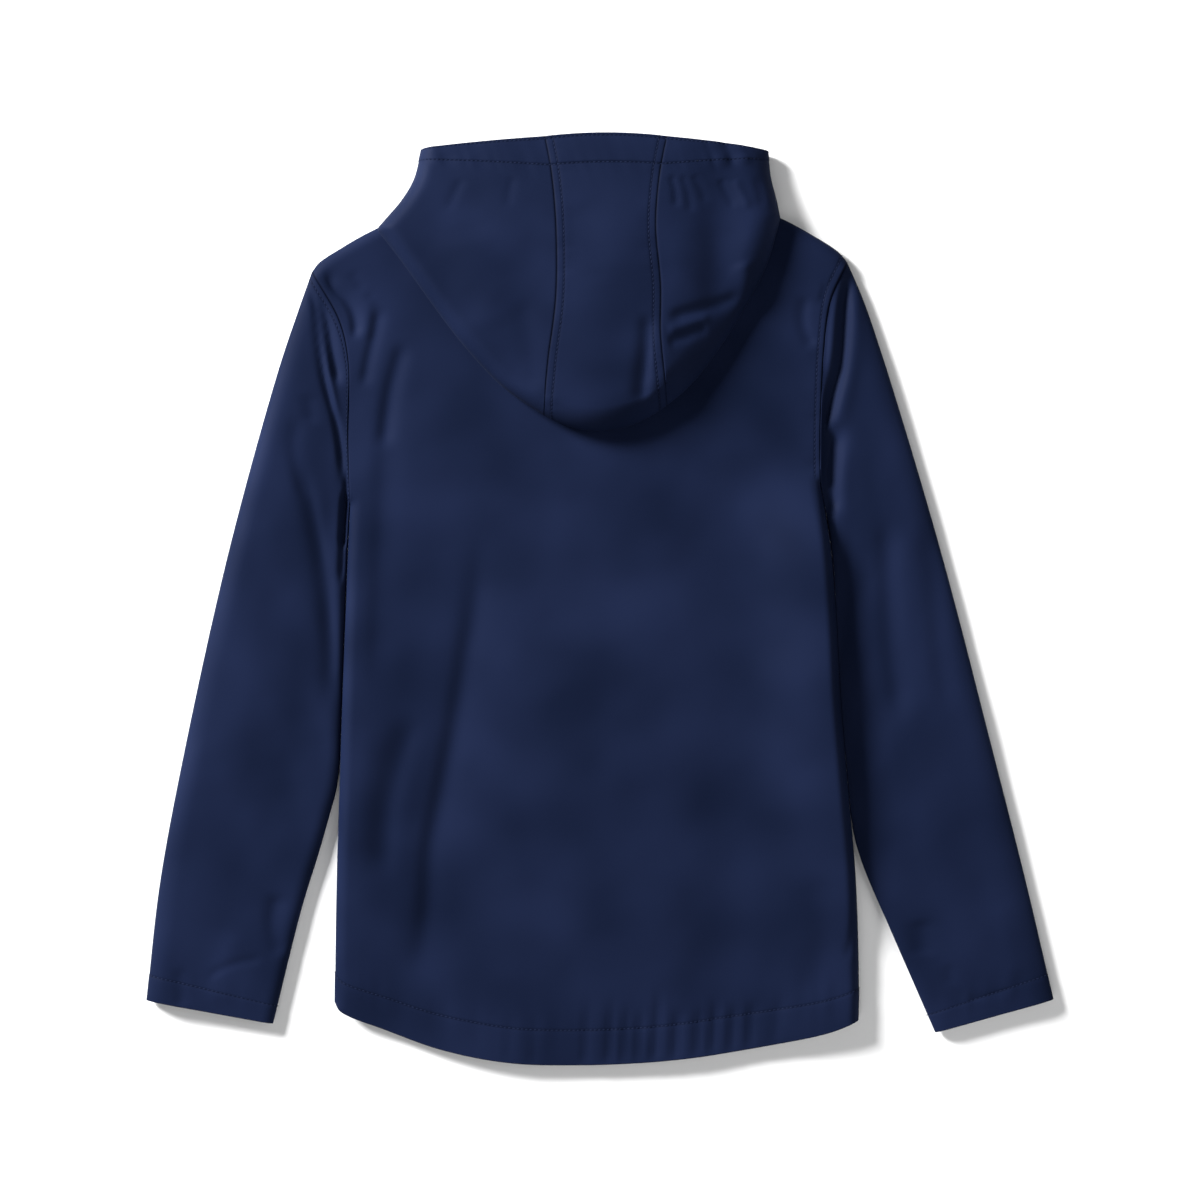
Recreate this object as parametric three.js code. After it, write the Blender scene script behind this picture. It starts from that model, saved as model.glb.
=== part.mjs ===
import * as THREE from 'three';

// A child's hooded raincoat, laid flat with its back up and the hood folded down over the back.
// Millimetres. X runs across, Y from hem to hood, Z up from the table that it lies on.

// Cloth and seams
const CLOTH = 1.6;
const SEAM_GAP = 0.5;
const HEM_RISE = 0.6;
const HEM_WIDTH = 21;
const HEM_STEP = 1.5;
const CUFF_WIDTH = 18;
const FRONT_HEM_SHORTER = 2;
const NAVY = 0x1d2743;
const STUD_NAVY = 0x161c30;

// Heights over the table
const LOFT = 9;
const SIDE_SEAM_HEIGHT = 4.5;
const SIDE_SEAM_GAP = 0.3;
const HOOD_REST = LOFT + 0.6;
// The back swells beside its side seams, from below the underarm: height, distance from the seam, half width
const SIDE_SWELLS = {
  left: { rise: 3.5, at: 8, half: 32 },
  right: { rise: 10.5, at: 2, half: 52 },
};
const SWELL_TOP = 90;
const SWELL_FADE = 80;
// It sinks to a share of that height toward the hem
const SWELL_LOW = -190;
const SWELL_AT_HEM = 0.45;

// Rounded edges, where a layer turns down to a side seam, shoulder or fold
const ROLL = 9;
const ROLL_STEPS = [0, 1, 4, ROLL];
const HOOD_TOP_ROLL = 12;
const HOOD_UNDER_ROLL = 10;

// Placket with its press studs
const PLACKET_HALF = 20;
const PLACKET_SLOPE = 10;
const PLACKET_CLEARANCE = 5;
const STUD_COUNT = 5;
const STUD_RADIUS = 6;
const STUD_HEIGHT = 0.9;
const STUD_MARGIN = 45;
const STUD_SIDES = 12;
const PLACKET_OUTER_HEIGHT = STUD_HEIGHT + 0.3;
const PLACKET_INNER_HEIGHT = PLACKET_OUTER_HEIGHT + CLOTH + 0.3;

// Seams and edges seen from above, one row for each point that the shape needs
const SIDE_LEFT = [
  { x: -191.5, y: -290 }, { x: -190.5, y: -215 }, { x: -188.5, y: -144 }, { x: -185.5, y: -54 },
  { x: -182.5, y: 25 }, { x: -180.5, y: 68.5 },
];
const SIDE_RIGHT = [
  { x: 186.5, y: -303 }, { x: 187, y: -277 }, { x: 185, y: -205 }, { x: 180, y: -144 },
  { x: 174, y: -72 }, { x: 170, y: 0 }, { x: 166.5, y: 40 }, { x: 159, y: 84 },
];
const ARMHOLE_LEFT = [
  { x: -180.5, y: 68.5 }, { x: -182, y: 122 }, { x: -181.5, y: 173 }, { x: -188, y: 202 },
  { x: -208, y: 237 },
];
const ARMHOLE_RIGHT = [
  { x: 159, y: 84 }, { x: 159, y: 125 }, { x: 161, y: 178 }, { x: 166, y: 216 }, { x: 178.5, y: 244 },
];
const SHOULDER_LEFT = [
  { x: -208, y: 237 }, { x: -203, y: 243.5 }, { x: -188, y: 253.5 }, { x: -165, y: 266.5 },
  { x: -102, y: 293 },
];
const SHOULDER_RIGHT = [
  { x: 72, y: 298 }, { x: 129, y: 276.5 }, { x: 150, y: 265.5 }, { x: 172, y: 251.5 }, { x: 178.5, y: 244 },
];
const NECK_BACK = [
  { x: -102, y: 293 }, { x: -79, y: 285 }, { x: -50, y: 281 }, { x: -14, y: 279.5 }, { x: 20, y: 281.5 },
  { x: 49, y: 288 }, { x: 72, y: 298 },
];
const NECK_FRONT = [
  { x: -102, y: 293 }, { x: -86.5, y: 270 }, { x: -57.5, y: 248.5 }, { x: -14, y: 237.5 },
  { x: 28, y: 249.5 }, { x: 58, y: 272.5 }, { x: 72, y: 298 },
];
const HEM = [
  { x: -191.5, y: -290 }, { x: -187, y: -296.5 }, { x: -155.5, y: -309.5 }, { x: -115, y: -324 },
  { x: -65, y: -333.5 }, { x: -7, y: -335 }, { x: 57.5, y: -331 }, { x: 129.5, y: -319.5 },
  { x: 165, y: -311.5 }, { x: 186.5, y: -303 },
];
// Each sleeve lies close along its side seam from one height to another, then leaves it
const SLEEVE_GAP = 0.45;
const SLEEVE_POINT_STEP = 20;
const SLEEVES = {
  left: {
    armhole: ARMHOLE_LEFT,
    side: -1,
    outer: [
      { x: -218, y: 209 }, { x: -232.5, y: 165.5 }, { x: -268, y: 36 }, { x: -300, y: -108 },
      { x: -318, y: -205 }, { x: -327.5, y: -288.5 },
    ],
    seam: SIDE_LEFT,
    beside: { from: 52, to: -118 },
    inner: [
      { x: -190.6, y: -138 }, { x: -194.4, y: -152 }, { x: -202.3, y: -180 }, { x: -215.5, y: -223 },
      { x: -236, y: -305.5 },
    ],
    // Height of the upper layer along the sleeve, beside the body and at the outer edge
    heights: [
      { along: 0, beside: LOFT, outside: LOFT },
      { along: 0.16, beside: 9, outside: 12 },
      { along: 0.55, beside: 9.5, outside: 12.5 },
      { along: 1, beside: 9.5, outside: 10.5 },
    ],
  },
  right: {
    armhole: ARMHOLE_RIGHT,
    side: 1,
    outer: [
      { x: 190.5, y: 216 }, { x: 207.5, y: 165.5 }, { x: 246, y: 36 }, { x: 283.5, y: -108 },
      { x: 308, y: -205 }, { x: 327.5, y: -288 },
    ],
    seam: SIDE_RIGHT,
    beside: { from: 68, to: -156 },
    inner: [
      { x: 184.4, y: -174 }, { x: 190.8, y: -194 }, { x: 209.5, y: -237.5 }, { x: 242, y: -312 },
    ],
    heights: [
      { along: 0, beside: LOFT, outside: LOFT },
      { along: 0.16, beside: 5, outside: 11.5 },
      { along: 0.55, beside: 4.8, outside: 12 },
      { along: 1, beside: 8, outside: 10.5 },
    ],
  },
};

// Hood, folded down. The neck rows say where its lower edge runs, from the chin round the shoulder
// to the back neck, and turn is the share of the side fold that has been passed there. The lower
// brim passes one point between its corner and the chin.
const HOOD_SHOULDER = 0.4;
const HOOD_SIDES = {
  left: {
    brim: [{ x: -39.5, y: 332.5 }, { x: -86.5, y: 328.5 }, { x: -129, y: 324 }],
    lowerBrim: { x: -86, y: 308 },
    seam: [
      { x: -39.5, y: 332.5 }, { x: -35, y: 308 }, { x: -31.5, y: 270 }, { x: -31.5, y: 216 },
      { x: -37, y: 172 }, { x: -39.5, y: 148 },
    ],
    sideFold: [
      { x: -129, y: 324 }, { x: -134.5, y: 302 }, { x: -144, y: 286 }, { x: -152.5, y: 276 },
      { x: -160.5, y: 266.5 },
    ],
    lowerFold: [
      { x: -160.5, y: 266.5 }, { x: -144, y: 245 }, { x: -101, y: 186.5 }, { x: -72, y: 155 },
      { x: -54, y: 141.5 }, { x: -40.5, y: 133 },
    ],
    neck: [
      { at: 0, turn: 0, x: -18.5, y: 238.6, z: 0 },
      { at: 0.28, turn: 0.3, x: -98.7, y: 290.4, z: 0.5 },
      { at: 0.31, turn: 0.5, x: -99.4, y: 297, z: 1.8 },
      { at: 0.34, turn: 0.72, x: -101, y: 298, z: 2.4 },
      { at: 0.37, turn: 0.86, x: -102.5, y: 298, z: 5 },
      { at: 0.4, turn: 1, x: -102.5, y: 295.8, z: HOOD_REST },
      { at: 0.5, x: -95, y: 291.5, z: HOOD_REST },
      { at: 0.68, x: -79, y: 286, z: HOOD_REST },
      { at: 1, x: -49, y: 281.5, z: HOOD_REST },
    ],
  },
  right: {
    brim: [{ x: 48, y: 332.5 }, { x: 86.5, y: 328.5 }, { x: 121.5, y: 323.5 }],
    lowerBrim: { x: 58, y: 312 },
    seam: [
      { x: 48, y: 332.5 }, { x: 43, y: 306 }, { x: 40, y: 268 }, { x: 43.5, y: 225 },
      { x: 43.5, y: 190 }, { x: 47, y: 155 },
    ],
    sideFold: [{ x: 121.5, y: 323.5 }, { x: 123.5, y: 304 }, { x: 127, y: 290 }, { x: 130, y: 275 }],
    lowerFold: [
      { x: 130, y: 275 }, { x: 120, y: 241 }, { x: 106.5, y: 214 }, { x: 90, y: 187 }, { x: 72, y: 162 },
      { x: 60, y: 149.5 }, { x: 48.5, y: 140 },
    ],
    neck: [
      { at: 0, turn: 0, x: -9.5, y: 238.6, z: 0 },
      { at: 0.28, turn: 0.3, x: 69.2, y: 295.2, z: 0.5 },
      { at: 0.31, turn: 0.5, x: 70.5, y: 301, z: 0.8 },
      { at: 0.34, turn: 0.72, x: 71.5, y: 302, z: 1.5 },
      { at: 0.37, turn: 0.86, x: 72.5, y: 302.2, z: 5 },
      { at: 0.4, turn: 1, x: 72.5, y: 300.8, z: HOOD_REST },
      { at: 0.5, x: 64.5, y: 296.3, z: HOOD_REST },
      { at: 0.68, x: 49, y: 289.5, z: HOOD_REST },
      { at: 1, x: 20, y: 282.5, z: HOOD_REST },
    ],
  },
};
const HOOD_HEIGHTS = [
  { y: 115, top: 27, fold: 16.5 },
  { y: 150, top: 30, fold: 16.5 },
  { y: 200, top: 32, fold: 16 },
  { y: 266, top: 31, fold: 14.5 },
  { y: 300, top: 27, fold: 11 },
  { y: 336, top: 20, fold: 8 },
];
const HOOD_SIDE_DROP = { left: 0, right: 3 };
// Hollow in its right side: the middle, the depth, and the half widths across and along
const HOOD_HOLLOW = { x: 86, y: 245, depth: 5, across: 17, along: 52 };
const HOOD_BRIM_ARCH = 2.5;
const HOOD_BRIM_ARCH_END = 0.3;
const HOOD_FOLD_BULGE = 15;
const HOOD_BULGE_REACH = 55;

// Largest folds: a soft trough or ridge from one point past a bend to another, with its half width
const BACK_FOLDS = [
  { x0: -88, y0: 90, bendX: -88, bendY: -36, x1: -142, y1: -290, half: 24, rise: -3.4 },
  { x0: -108, y0: 60, bendX: -108, bendY: -40, x1: -160, y1: -270, half: 13, rise: 1.6 },
  { x0: -131, y0: -70, bendX: -152, bendY: -140, x1: -154, y1: -215, half: 11, rise: -2.2 },
  { x0: -140, y0: 188, bendX: -154, bendY: 120, x1: -160, y1: 0, half: 10, rise: -1.8 },
  { x0: 12, y0: 20, bendX: 30, bendY: -120, x1: 48, y1: -262, half: 43, rise: 3.4 },
  { x0: 92, y0: 110, bendX: 108, bendY: 0, x1: 116, y1: -120, half: 31, rise: -2.8 },
  { x0: 150, y0: -190, bendX: 160, bendY: -240, x1: 150, y1: -290, half: 12, rise: -1.6 },
];
const SLEEVE_FOLDS = {
  left: [
    { x0: -212, y0: 226, bendX: -200, bendY: 170, x1: -187, y1: 78, half: 8, rise: -2.4 },
    { x0: -216, y0: 110, bendX: -206, bendY: 40, x1: -198, y1: -45, half: 8, rise: -2 },
    { x0: -240, y0: 60, bendX: -252, bendY: -40, x1: -268, y1: -150, half: 22, rise: 1.2 },
    { x0: -236, y0: -205, bendX: -236, bendY: -235, x1: -246, y1: -275, half: 8, rise: -1.5 },
  ],
  right: [
    { x0: 178, y0: 238, bendX: 180, bendY: 180, x1: 166, y1: 92, half: 8, rise: -2.2 },
    { x0: 205, y0: 60, bendX: 210, bendY: 10, x1: 217, y1: -60, half: 12, rise: -1.5 },
    { x0: 232, y0: 40, bendX: 244, bendY: 0, x1: 252, y1: -60, half: 10, rise: -1 },
    { x0: 236, y0: -238, bendX: 243, bendY: -255, x1: 247, y1: -285, half: 8, rise: -1.4 },
  ],
};

// Shares closer than this are the same, and shares this far apart give a curve's direction
const SAME = 1e-6;
const NEARBY = 0.01;
const SEARCH_STEPS = 30;

const clamp = (value) => Math.min(1, Math.max(0, value));
const mix = (a, b, share) => a + (b - a) * share;
const ease = (value) => clamp(value) ** 2 * (3 - 2 * clamp(value));
const rounded = (distance, radius) => Math.sqrt(1 - (1 - clamp(distance / radius)) ** 2);
const flat = (row) => new THREE.Vector3(row.x, row.y, 0);
const line = (from, to) => (share) => new THREE.Vector3().lerpVectors(from, to, share);

function spline(rows) {
  const curve = new THREE.CatmullRomCurve3(rows.map(flat), false, 'centripetal');
  return (share) => curve.getPointAt(clamp(share));
}

// Two curves end to end, the first up to the share called middle
function joined(first, second, middle) {
  return (share) => (share <= middle ? first(share / middle) : second((share - middle) / (1 - middle)));
}

function lengthOf(curve) {
  const steps = 60;
  let total = 0;
  for (let i = 1; i <= steps; i += 1) total += curve(i / steps).distanceTo(curve((i - 1) / steps));
  return total;
}

// Share of a curve at which it passes a given x, for a curve that runs steadily across
function shareAt(curve, axis, value) {
  let low = 0;
  let high = 1;
  const rising = curve(1)[axis] > curve(0)[axis];
  for (let i = 0; i < SEARCH_STEPS; i += 1) {
    const middle = (low + high) / 2;
    if (curve(middle)[axis] < value === rising) low = middle;
    else high = middle;
  }
  return low;
}

// Value of one column of a table, between its rows
function lookUp(rows, key, column, at) {
  let i = 1;
  while (i < rows.length - 1 && rows[i][key] < at) i += 1;
  const share = clamp((at - rows[i - 1][key]) / (rows[i][key] - rows[i - 1][key]));
  return mix(rows[i - 1][column], rows[i][column], share);
}

// Surface between four edge curves: start and end run across, near and far run along
function patch(start, end, near, far) {
  return (across, along) => {
    const ruled = near(along).multiplyScalar(1 - across).add(far(along).multiplyScalar(across));
    const other = start(across).multiplyScalar(1 - along).add(end(across).multiplyScalar(along));
    const low = start(0).multiplyScalar(1 - across).add(start(1).multiplyScalar(across));
    const high = end(0).multiplyScalar(1 - across).add(end(1).multiplyScalar(across));
    return ruled.add(other).sub(low.multiplyScalar(1 - along)).sub(high.multiplyScalar(along));
  };
}

// Distance in plan from a point to the nearest of several curves
function distanceTo(curves) {
  const steps = 50;
  const lines = curves.map((curve) => Array.from({ length: steps + 1 }, (_, i) => curve(i / steps)));
  const foot = new THREE.Vector3();
  return (point) => {
    let nearest = Infinity;
    const seen = new THREE.Vector3(point.x, point.y, 0);
    for (const points of lines) {
      for (let i = 0; i < steps; i += 1) {
        new THREE.Line3(points[i], points[i + 1]).closestPointToPoint(seen, true, foot);
        nearest = Math.min(nearest, foot.distanceTo(seen));
      }
    }
    return nearest;
  };
}

// Height that the folds of a table add at a point
function foldsOf(rows) {
  const steps = 24;
  const folds = rows.map((row) => {
    const start = new THREE.Vector2(row.x0, row.y0);
    const bend = new THREE.Vector2(row.bendX, row.bendY);
    const curve = new THREE.QuadraticBezierCurve(start, bend, new THREE.Vector2(row.x1, row.y1));
    return { row, points: curve.getPoints(steps) };
  });
  return (point) => {
    let total = 0;
    for (const { row, points } of folds) {
      const distances = points.map((p) => Math.hypot(p.x - point.x, p.y - point.y));
      const nearest = Math.min(...distances);
      const share = distances.indexOf(nearest) / steps;
      const fade = ease(4 * Math.min(share, 1 - share));
      total += row.rise * fade * Math.exp(-((nearest / row.half) ** 2));
    }
    return total;
  };
}

// Shares across a width, close together in the rounded edges on both sides
function stations(width, middleSteps) {
  const near = ROLL_STEPS.map((step) => step / width);
  const far = near.map((share) => 1 - share).reverse();
  const from = near[near.length - 1];
  const middle = Array.from({ length: middleSteps - 1 }, (_, i) => mix(from, far[0], (i + 1) / middleSteps));
  return [...near, ...middle, ...far];
}

// Unit directions away from the cloth's inner side at each point of a grid, from the quads round it
function outwardAt(skin, spans, flip, level) {
  const outward = skin.map((row) => row.map(() => new THREE.Vector3()));
  for (let i = 0; i < skin.length - 1; i += 1) {
    for (let j = 0; j < spans; j += 1) {
      const next = (j + 1) % skin[i].length;
      const rising = new THREE.Vector3().subVectors(skin[i + 1][next], skin[i][j]);
      const falling = new THREE.Vector3().subVectors(skin[i + 1][j], skin[i][next]);
      const normal = rising.cross(falling).multiplyScalar(flip ? -1 : 1);
      const corners = [outward[i][j], outward[i][next], outward[i + 1][j], outward[i + 1][next]];
      for (const corner of corners) corner.add(normal);
    }
  }
  outward.forEach((row, i) => row.forEach((direction, j) => {
    if (level(i, j)) direction.z = 0;
    direction.normalize();
  }));
  return outward;
}

// One piece of cloth: a grid of points on its outer side, the same grid moved in by the cloth's
// thickness, and the rims that close the wall. A wrapped grid is a tube.
function clothPiece(name, skin, options) {
  const { wrap = false, flip = false, rise = () => 0, level = () => false } = options;
  const rows = skin.length;
  const columns = skin[0].length;
  const spans = wrap ? columns : columns - 1;
  const outward = outwardAt(skin, spans, flip, level);
  const positions = [];
  for (let i = 0; i < rows; i += 1) {
    for (let j = 0; j < columns; j += 1) {
      positions.push(...skin[i][j].clone().addScaledVector(outward[i][j], rise(i, j)).toArray());
    }
  }
  for (let i = 0; i < rows; i += 1) {
    for (let j = 0; j < columns; j += 1) {
      positions.push(...skin[i][j].clone().addScaledVector(outward[i][j], -CLOTH).toArray());
    }
  }
  const outer = (i, j) => i * columns + (j % columns);
  const inner = (i, j) => rows * columns + outer(i, j);
  const index = [];
  const quad = (a, b, c, d) => index.push(...(flip ? [a, c, b, a, d, c] : [a, b, c, a, c, d]));
  for (let i = 0; i < rows - 1; i += 1) {
    for (let j = 0; j < spans; j += 1) {
      quad(outer(i, j), outer(i, j + 1), outer(i + 1, j + 1), outer(i + 1, j));
      quad(inner(i, j), inner(i + 1, j), inner(i + 1, j + 1), inner(i, j + 1));
    }
  }
  const end = rows - 1;
  for (let j = 0; j < spans; j += 1) {
    quad(outer(0, j + 1), outer(0, j), inner(0, j), inner(0, j + 1));
    quad(outer(end, j), outer(end, j + 1), inner(end, j + 1), inner(end, j));
  }
  if (!wrap) {
    const edge = columns - 1;
    for (let i = 0; i < end; i += 1) {
      quad(outer(i, 0), outer(i + 1, 0), inner(i + 1, 0), inner(i, 0));
      quad(outer(i + 1, edge), outer(i, edge), inner(i, edge), inner(i + 1, edge));
    }
  }
  const geometry = new THREE.BufferGeometry();
  geometry.setAttribute('position', new THREE.Float32BufferAttribute(positions, 3));
  geometry.setIndex(index);
  geometry.computeVertexNormals();
  const material = new THREE.MeshStandardMaterial({ color: NAVY, roughness: 0.5, metalness: 0 });
  const mesh = new THREE.Mesh(geometry, material);
  mesh.name = name;
  return mesh;
}

const sideLeft = spline(SIDE_LEFT);
const sideRight = spline(SIDE_RIGHT);
const armholeLeft = spline(ARMHOLE_LEFT);
const armholeRight = spline(ARMHOLE_RIGHT);
const shoulderLeft = spline(SHOULDER_LEFT);
const shoulderRight = spline(SHOULDER_RIGHT);
const neckBack = spline(NECK_BACK);
const neckFront = spline(NECK_FRONT);
const hem = spline(HEM);
const bodyEdges = distanceTo([sideLeft, sideRight, shoulderLeft, shoulderRight]);
const fromSide = { left: distanceTo([sideLeft]), right: distanceTo([sideRight]) };

// Shares of the body's length: the hem, the underarm, and the armhole with both its rounded ends
const UNDERARM = 0.69;
const ARMHOLE_STEPS = stations(lengthOf(armholeLeft), 8);
const armholeRows = ARMHOLE_STEPS.map((share) => mix(UNDERARM, 1, share));

function bodyRows(middleRows) {
  const sideLength = lengthOf(sideLeft);
  const steps = [0, HEM_WIDTH / 2, HEM_WIDTH, HEM_WIDTH + HEM_STEP];
  const hemRows = steps.map((step) => (step / sideLength) * UNDERARM);
  const from = hemRows[hemRows.length - 1];
  const middle = Array.from({ length: middleRows - 1 }, (_, i) => mix(from, UNDERARM, (i + 1) / middleRows));
  return [...hemRows, ...middle, ...armholeRows];
}

// Shares of the top edge at which the shoulders meet the neck
const LEFT_NECK = 0.274;
const RIGHT_NECK = 0.725;

// Height that the back has more beside a side seam
function swellAt(point) {
  let total = 0;
  for (const [key, swell] of Object.entries(SIDE_SWELLS)) {
    total += swell.rise * Math.exp(-(((fromSide[key](point) - swell.at) / swell.half) ** 2));
  }
  const sinking = mix(1, SWELL_AT_HEM, ease((SWELL_LOW - point.y) / SWELL_FADE));
  return total * sinking * ease((SWELL_TOP - point.y) / SWELL_FADE);
}

// Back: hem, both sides, armholes, shoulders and back neck
function backPanel() {
  const width = lengthOf(hem);
  const lengthRows = 21;
  const shoulderSteps = 7;
  const neckSteps = 10;
  const roll = ROLL_STEPS.map((step) => step / width);
  const columns = [...roll];
  const from = roll[roll.length - 1];
  for (let i = 1; i <= shoulderSteps; i += 1) columns.push(mix(from, LEFT_NECK, i / shoulderSteps));
  for (let i = 1; i <= neckSteps; i += 1) columns.push(mix(LEFT_NECK, RIGHT_NECK, i / neckSteps));
  for (let i = 1; i <= shoulderSteps; i += 1) columns.push(mix(RIGHT_NECK, 1 - from, i / shoulderSteps));
  columns.push(...roll.slice(0, -1).reverse().map((share) => 1 - share));

  const neckAndRight = joined(neckBack, shoulderRight, (RIGHT_NECK - LEFT_NECK) / (1 - LEFT_NECK));
  const top = joined(shoulderLeft, neckAndRight, LEFT_NECK);
  const leftEdge = joined(sideLeft, armholeLeft, UNDERARM);
  const rightEdge = joined(sideRight, armholeRight, UNDERARM);
  const surface = patch(hem, top, leftEdge, rightEdge);
  const folds = foldsOf(BACK_FOLDS);
  const seamHeight = SIDE_SEAM_HEIGHT + SIDE_SEAM_GAP / 2;
  const rows = bodyRows(lengthRows);
  const skin = rows.map((along) => columns.map((across) => {
    const point = surface(across, along);
    const height = LOFT + swellAt(point) + folds(point);
    point.z = mix(seamHeight, height, rounded(bodyEdges(point), ROLL));
    return point;
  }));
  const lastRow = rows.length - 1;
  const lastColumn = columns.length - 1;
  const onShoulder = (j) => columns[j] <= LEFT_NECK + SAME || columns[j] >= RIGHT_NECK - SAME;
  const beside = (i) => rows[i] <= UNDERARM + SAME;
  return clothPiece('back_panel', skin, {
    rise: (i) => (i <= 2 ? HEM_RISE : 0),
    level: (i, j) => (i === lastRow && onShoulder(j)) || ((j === 0 || j === lastColumn) && beside(i)),
  });
}

// The centre front leans a little: its x at the hem, at the chin and between
const HEM_CENTRE = { x: -2, y: -335 };
const CHIN = { x: -14, y: 237.5 };
const centreAt = (y) => mix(HEM_CENTRE.x, CHIN.x, clamp((y - HEM_CENTRE.y) / (CHIN.y - HEM_CENTRE.y)));

// Fronts lie under the back. The left placket is the outer one and the right one lies on it.
function frontPanel(name, side) {
  const left = side < 0;
  const reach = -side * PLACKET_HALF;
  const frontHem = (share) => hem(share).add(new THREE.Vector3(0, FRONT_HEM_SHORTER, 0));
  const hemCentre = shareAt(hem, 'x', HEM_CENTRE.x + reach);
  const neckCorner = neckFront(left ? 0 : 1).x;
  const neckEdge = CHIN.x + reach;
  const shoulderShare = 0.5;
  const shoulderSteps = 3;
  const chestSteps = 5;
  const lengthRows = 9;
  const start = left ? (u) => frontHem(u * hemCentre) : (u) => frontHem(mix(1, hemCentre, u));
  const neck = (u) => neckFront(shareAt(neckFront, 'x', mix(neckCorner, neckEdge, u)));
  const shoulder = left ? shoulderLeft : (u) => shoulderRight(1 - u);
  const sideSeam = left ? sideLeft : sideRight;
  const armhole = left ? armholeLeft : armholeRight;
  const edge = line(start(1), neck(1));
  const top = joined(shoulder, neck, shoulderShare);
  const surface = patch(start, top, joined(sideSeam, armhole, UNDERARM), edge);
  const flap = left ? PLACKET_OUTER_HEIGHT : PLACKET_INNER_HEIGHT;
  const flapEnd = 2 * PLACKET_HALF + (left ? 0 : PLACKET_CLEARANCE);
  const width = start(0).distanceTo(start(1));
  const roll = ROLL_STEPS.map((step) => step / width);
  const from = roll[roll.length - 1];
  const flapSteps = [flapEnd + PLACKET_SLOPE, flapEnd, flapEnd / 2, 0].map((step) => 1 - step / width);
  const columns = [...roll];
  for (let i = 1; i <= shoulderSteps; i += 1) columns.push(mix(from, shoulderShare, i / shoulderSteps));
  for (let i = 1; i <= chestSteps; i += 1) columns.push(mix(shoulderShare, flapSteps[0], i / chestSteps));
  columns.push(...flapSteps.slice(1));
  const rows = bodyRows(lengthRows);
  const seamHeight = SIDE_SEAM_HEIGHT - SIDE_SEAM_GAP / 2;
  const skin = rows.map((along) => columns.map((across) => {
    const point = surface(across, along);
    const inFlap = ease((flapEnd + PLACKET_SLOPE - (edge(along).x - point.x) * -side) / PLACKET_SLOPE);
    point.z = mix(seamHeight, 0, rounded(bodyEdges(point), ROLL)) + flap * inFlap;
    return point;
  }));
  const onShoulder = (i, j) => i === rows.length - 1 && columns[j] <= shoulderShare + SAME;
  const onSide = (i, j) => j === 0 && rows[i] <= UNDERARM + SAME;
  return clothPiece(name, skin, { flip: left, level: (i, j) => onShoulder(i, j) || onSide(i, j) });
}

// Points of a sleeve's inner edge where it lies along the body's side seam
function besideSeam(sleeve) {
  const seam = spline(sleeve.seam);
  const { from, to } = sleeve.beside;
  const count = Math.round((from - to) / SLEEVE_POINT_STEP);
  return Array.from({ length: count + 1 }, (_, i) => {
    const point = seam(shareAt(seam, 'y', mix(from, to, i / count)));
    return { x: point.x + sleeve.side * SLEEVE_GAP, y: point.y };
  });
}

// Sleeve: a flattened tube from the armhole to the cuff
function sleevePiece(name, key) {
  const sleeve = SLEEVES[key];
  const armhole = spline(sleeve.armhole);
  const shift = (share) => {
    const before = armhole(Math.max(0, share - NEARBY));
    const tangent = armhole(Math.min(1, share + NEARBY)).sub(before).normalize();
    const off = new THREE.Vector3(sleeve.side * tangent.y, -sleeve.side * tangent.x, 0);
    return armhole(share).addScaledVector(off, SEAM_GAP);
  };
  const outer = spline([shift(1), ...sleeve.outer]);
  const inner = spline([shift(0), ...besideSeam(sleeve), ...sleeve.inner]);
  const surface = patch(shift, line(inner(1), outer(1)), inner, outer);
  const edges = distanceTo([inner, outer]);
  const folds = foldsOf(SLEEVE_FOLDS[key]);
  const length = lengthOf(outer);
  const cuffRows = [CUFF_WIDTH + 1.5, CUFF_WIDTH, CUFF_WIDTH / 2, 0].map((step) => 1 - step / length);
  const middleRows = 21;
  const acrossSteps = 8;
  const headShare = 1 / 12;
  const rows = Array.from({ length: middleRows }, (_, i) => (cuffRows[0] * i) / middleRows).concat(cuffRows);
  const skin = rows.map((along, i) => {
    const width = inner(along).distanceTo(outer(along));
    const shares = i === 0 ? ARMHOLE_STEPS : stations(width, acrossSteps);
    const upper = shares.map((share) => {
      const point = surface(share, along);
      const beside = lookUp(sleeve.heights, 'along', 'beside', along);
      const outside = lookUp(sleeve.heights, 'along', 'outside', along);
      const height = mix(beside, outside, ease(share)) + folds(point) * ease(along / headShare);
      point.z = mix(SIDE_SEAM_HEIGHT, height, rounded(edges(point), ROLL));
      return point;
    });
    const under = shares.slice(1, -1).reverse().map((share) => {
      const point = surface(share, along);
      point.z = mix(SIDE_SEAM_HEIGHT, 0, rounded(edges(point), ROLL));
      return point;
    });
    return [...upper, ...under];
  });
  const upperCount = ARMHOLE_STEPS.length;
  return clothPiece(name, skin, {
    wrap: true,
    flip: sleeve.side > 0,
    rise: (i, j) => (rows[i] >= cuffRows[1] && j > 0 && j < upperCount - 1 ? HEM_RISE : 0),
  });
}

// Rows of the hood from the brim (0) to its lower fold (1), with the casing of the brim
const HOOD_CASING = 0.115;
const hoodRows = [0, 0.06, HOOD_CASING, 0.125, 0.165, 0.2, 0.24, 0.28, 0.31, 0.34, 0.37, HOOD_SHOULDER];
const HOOD_LOWER_STEPS = 9;
for (let i = 1; i <= HOOD_LOWER_STEPS; i += 1) hoodRows.push(mix(HOOD_SHOULDER, 1, i / HOOD_LOWER_STEPS));
const HOOD_UPPER = [0, 0.22, 0.44, 0.64, 0.8, 0.91, 0.975, 1];
const HOOD_UNDER = [0.03, 0.1, 0.28, 0.48, 0.66, 0.82, 0.93, 1];

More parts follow.
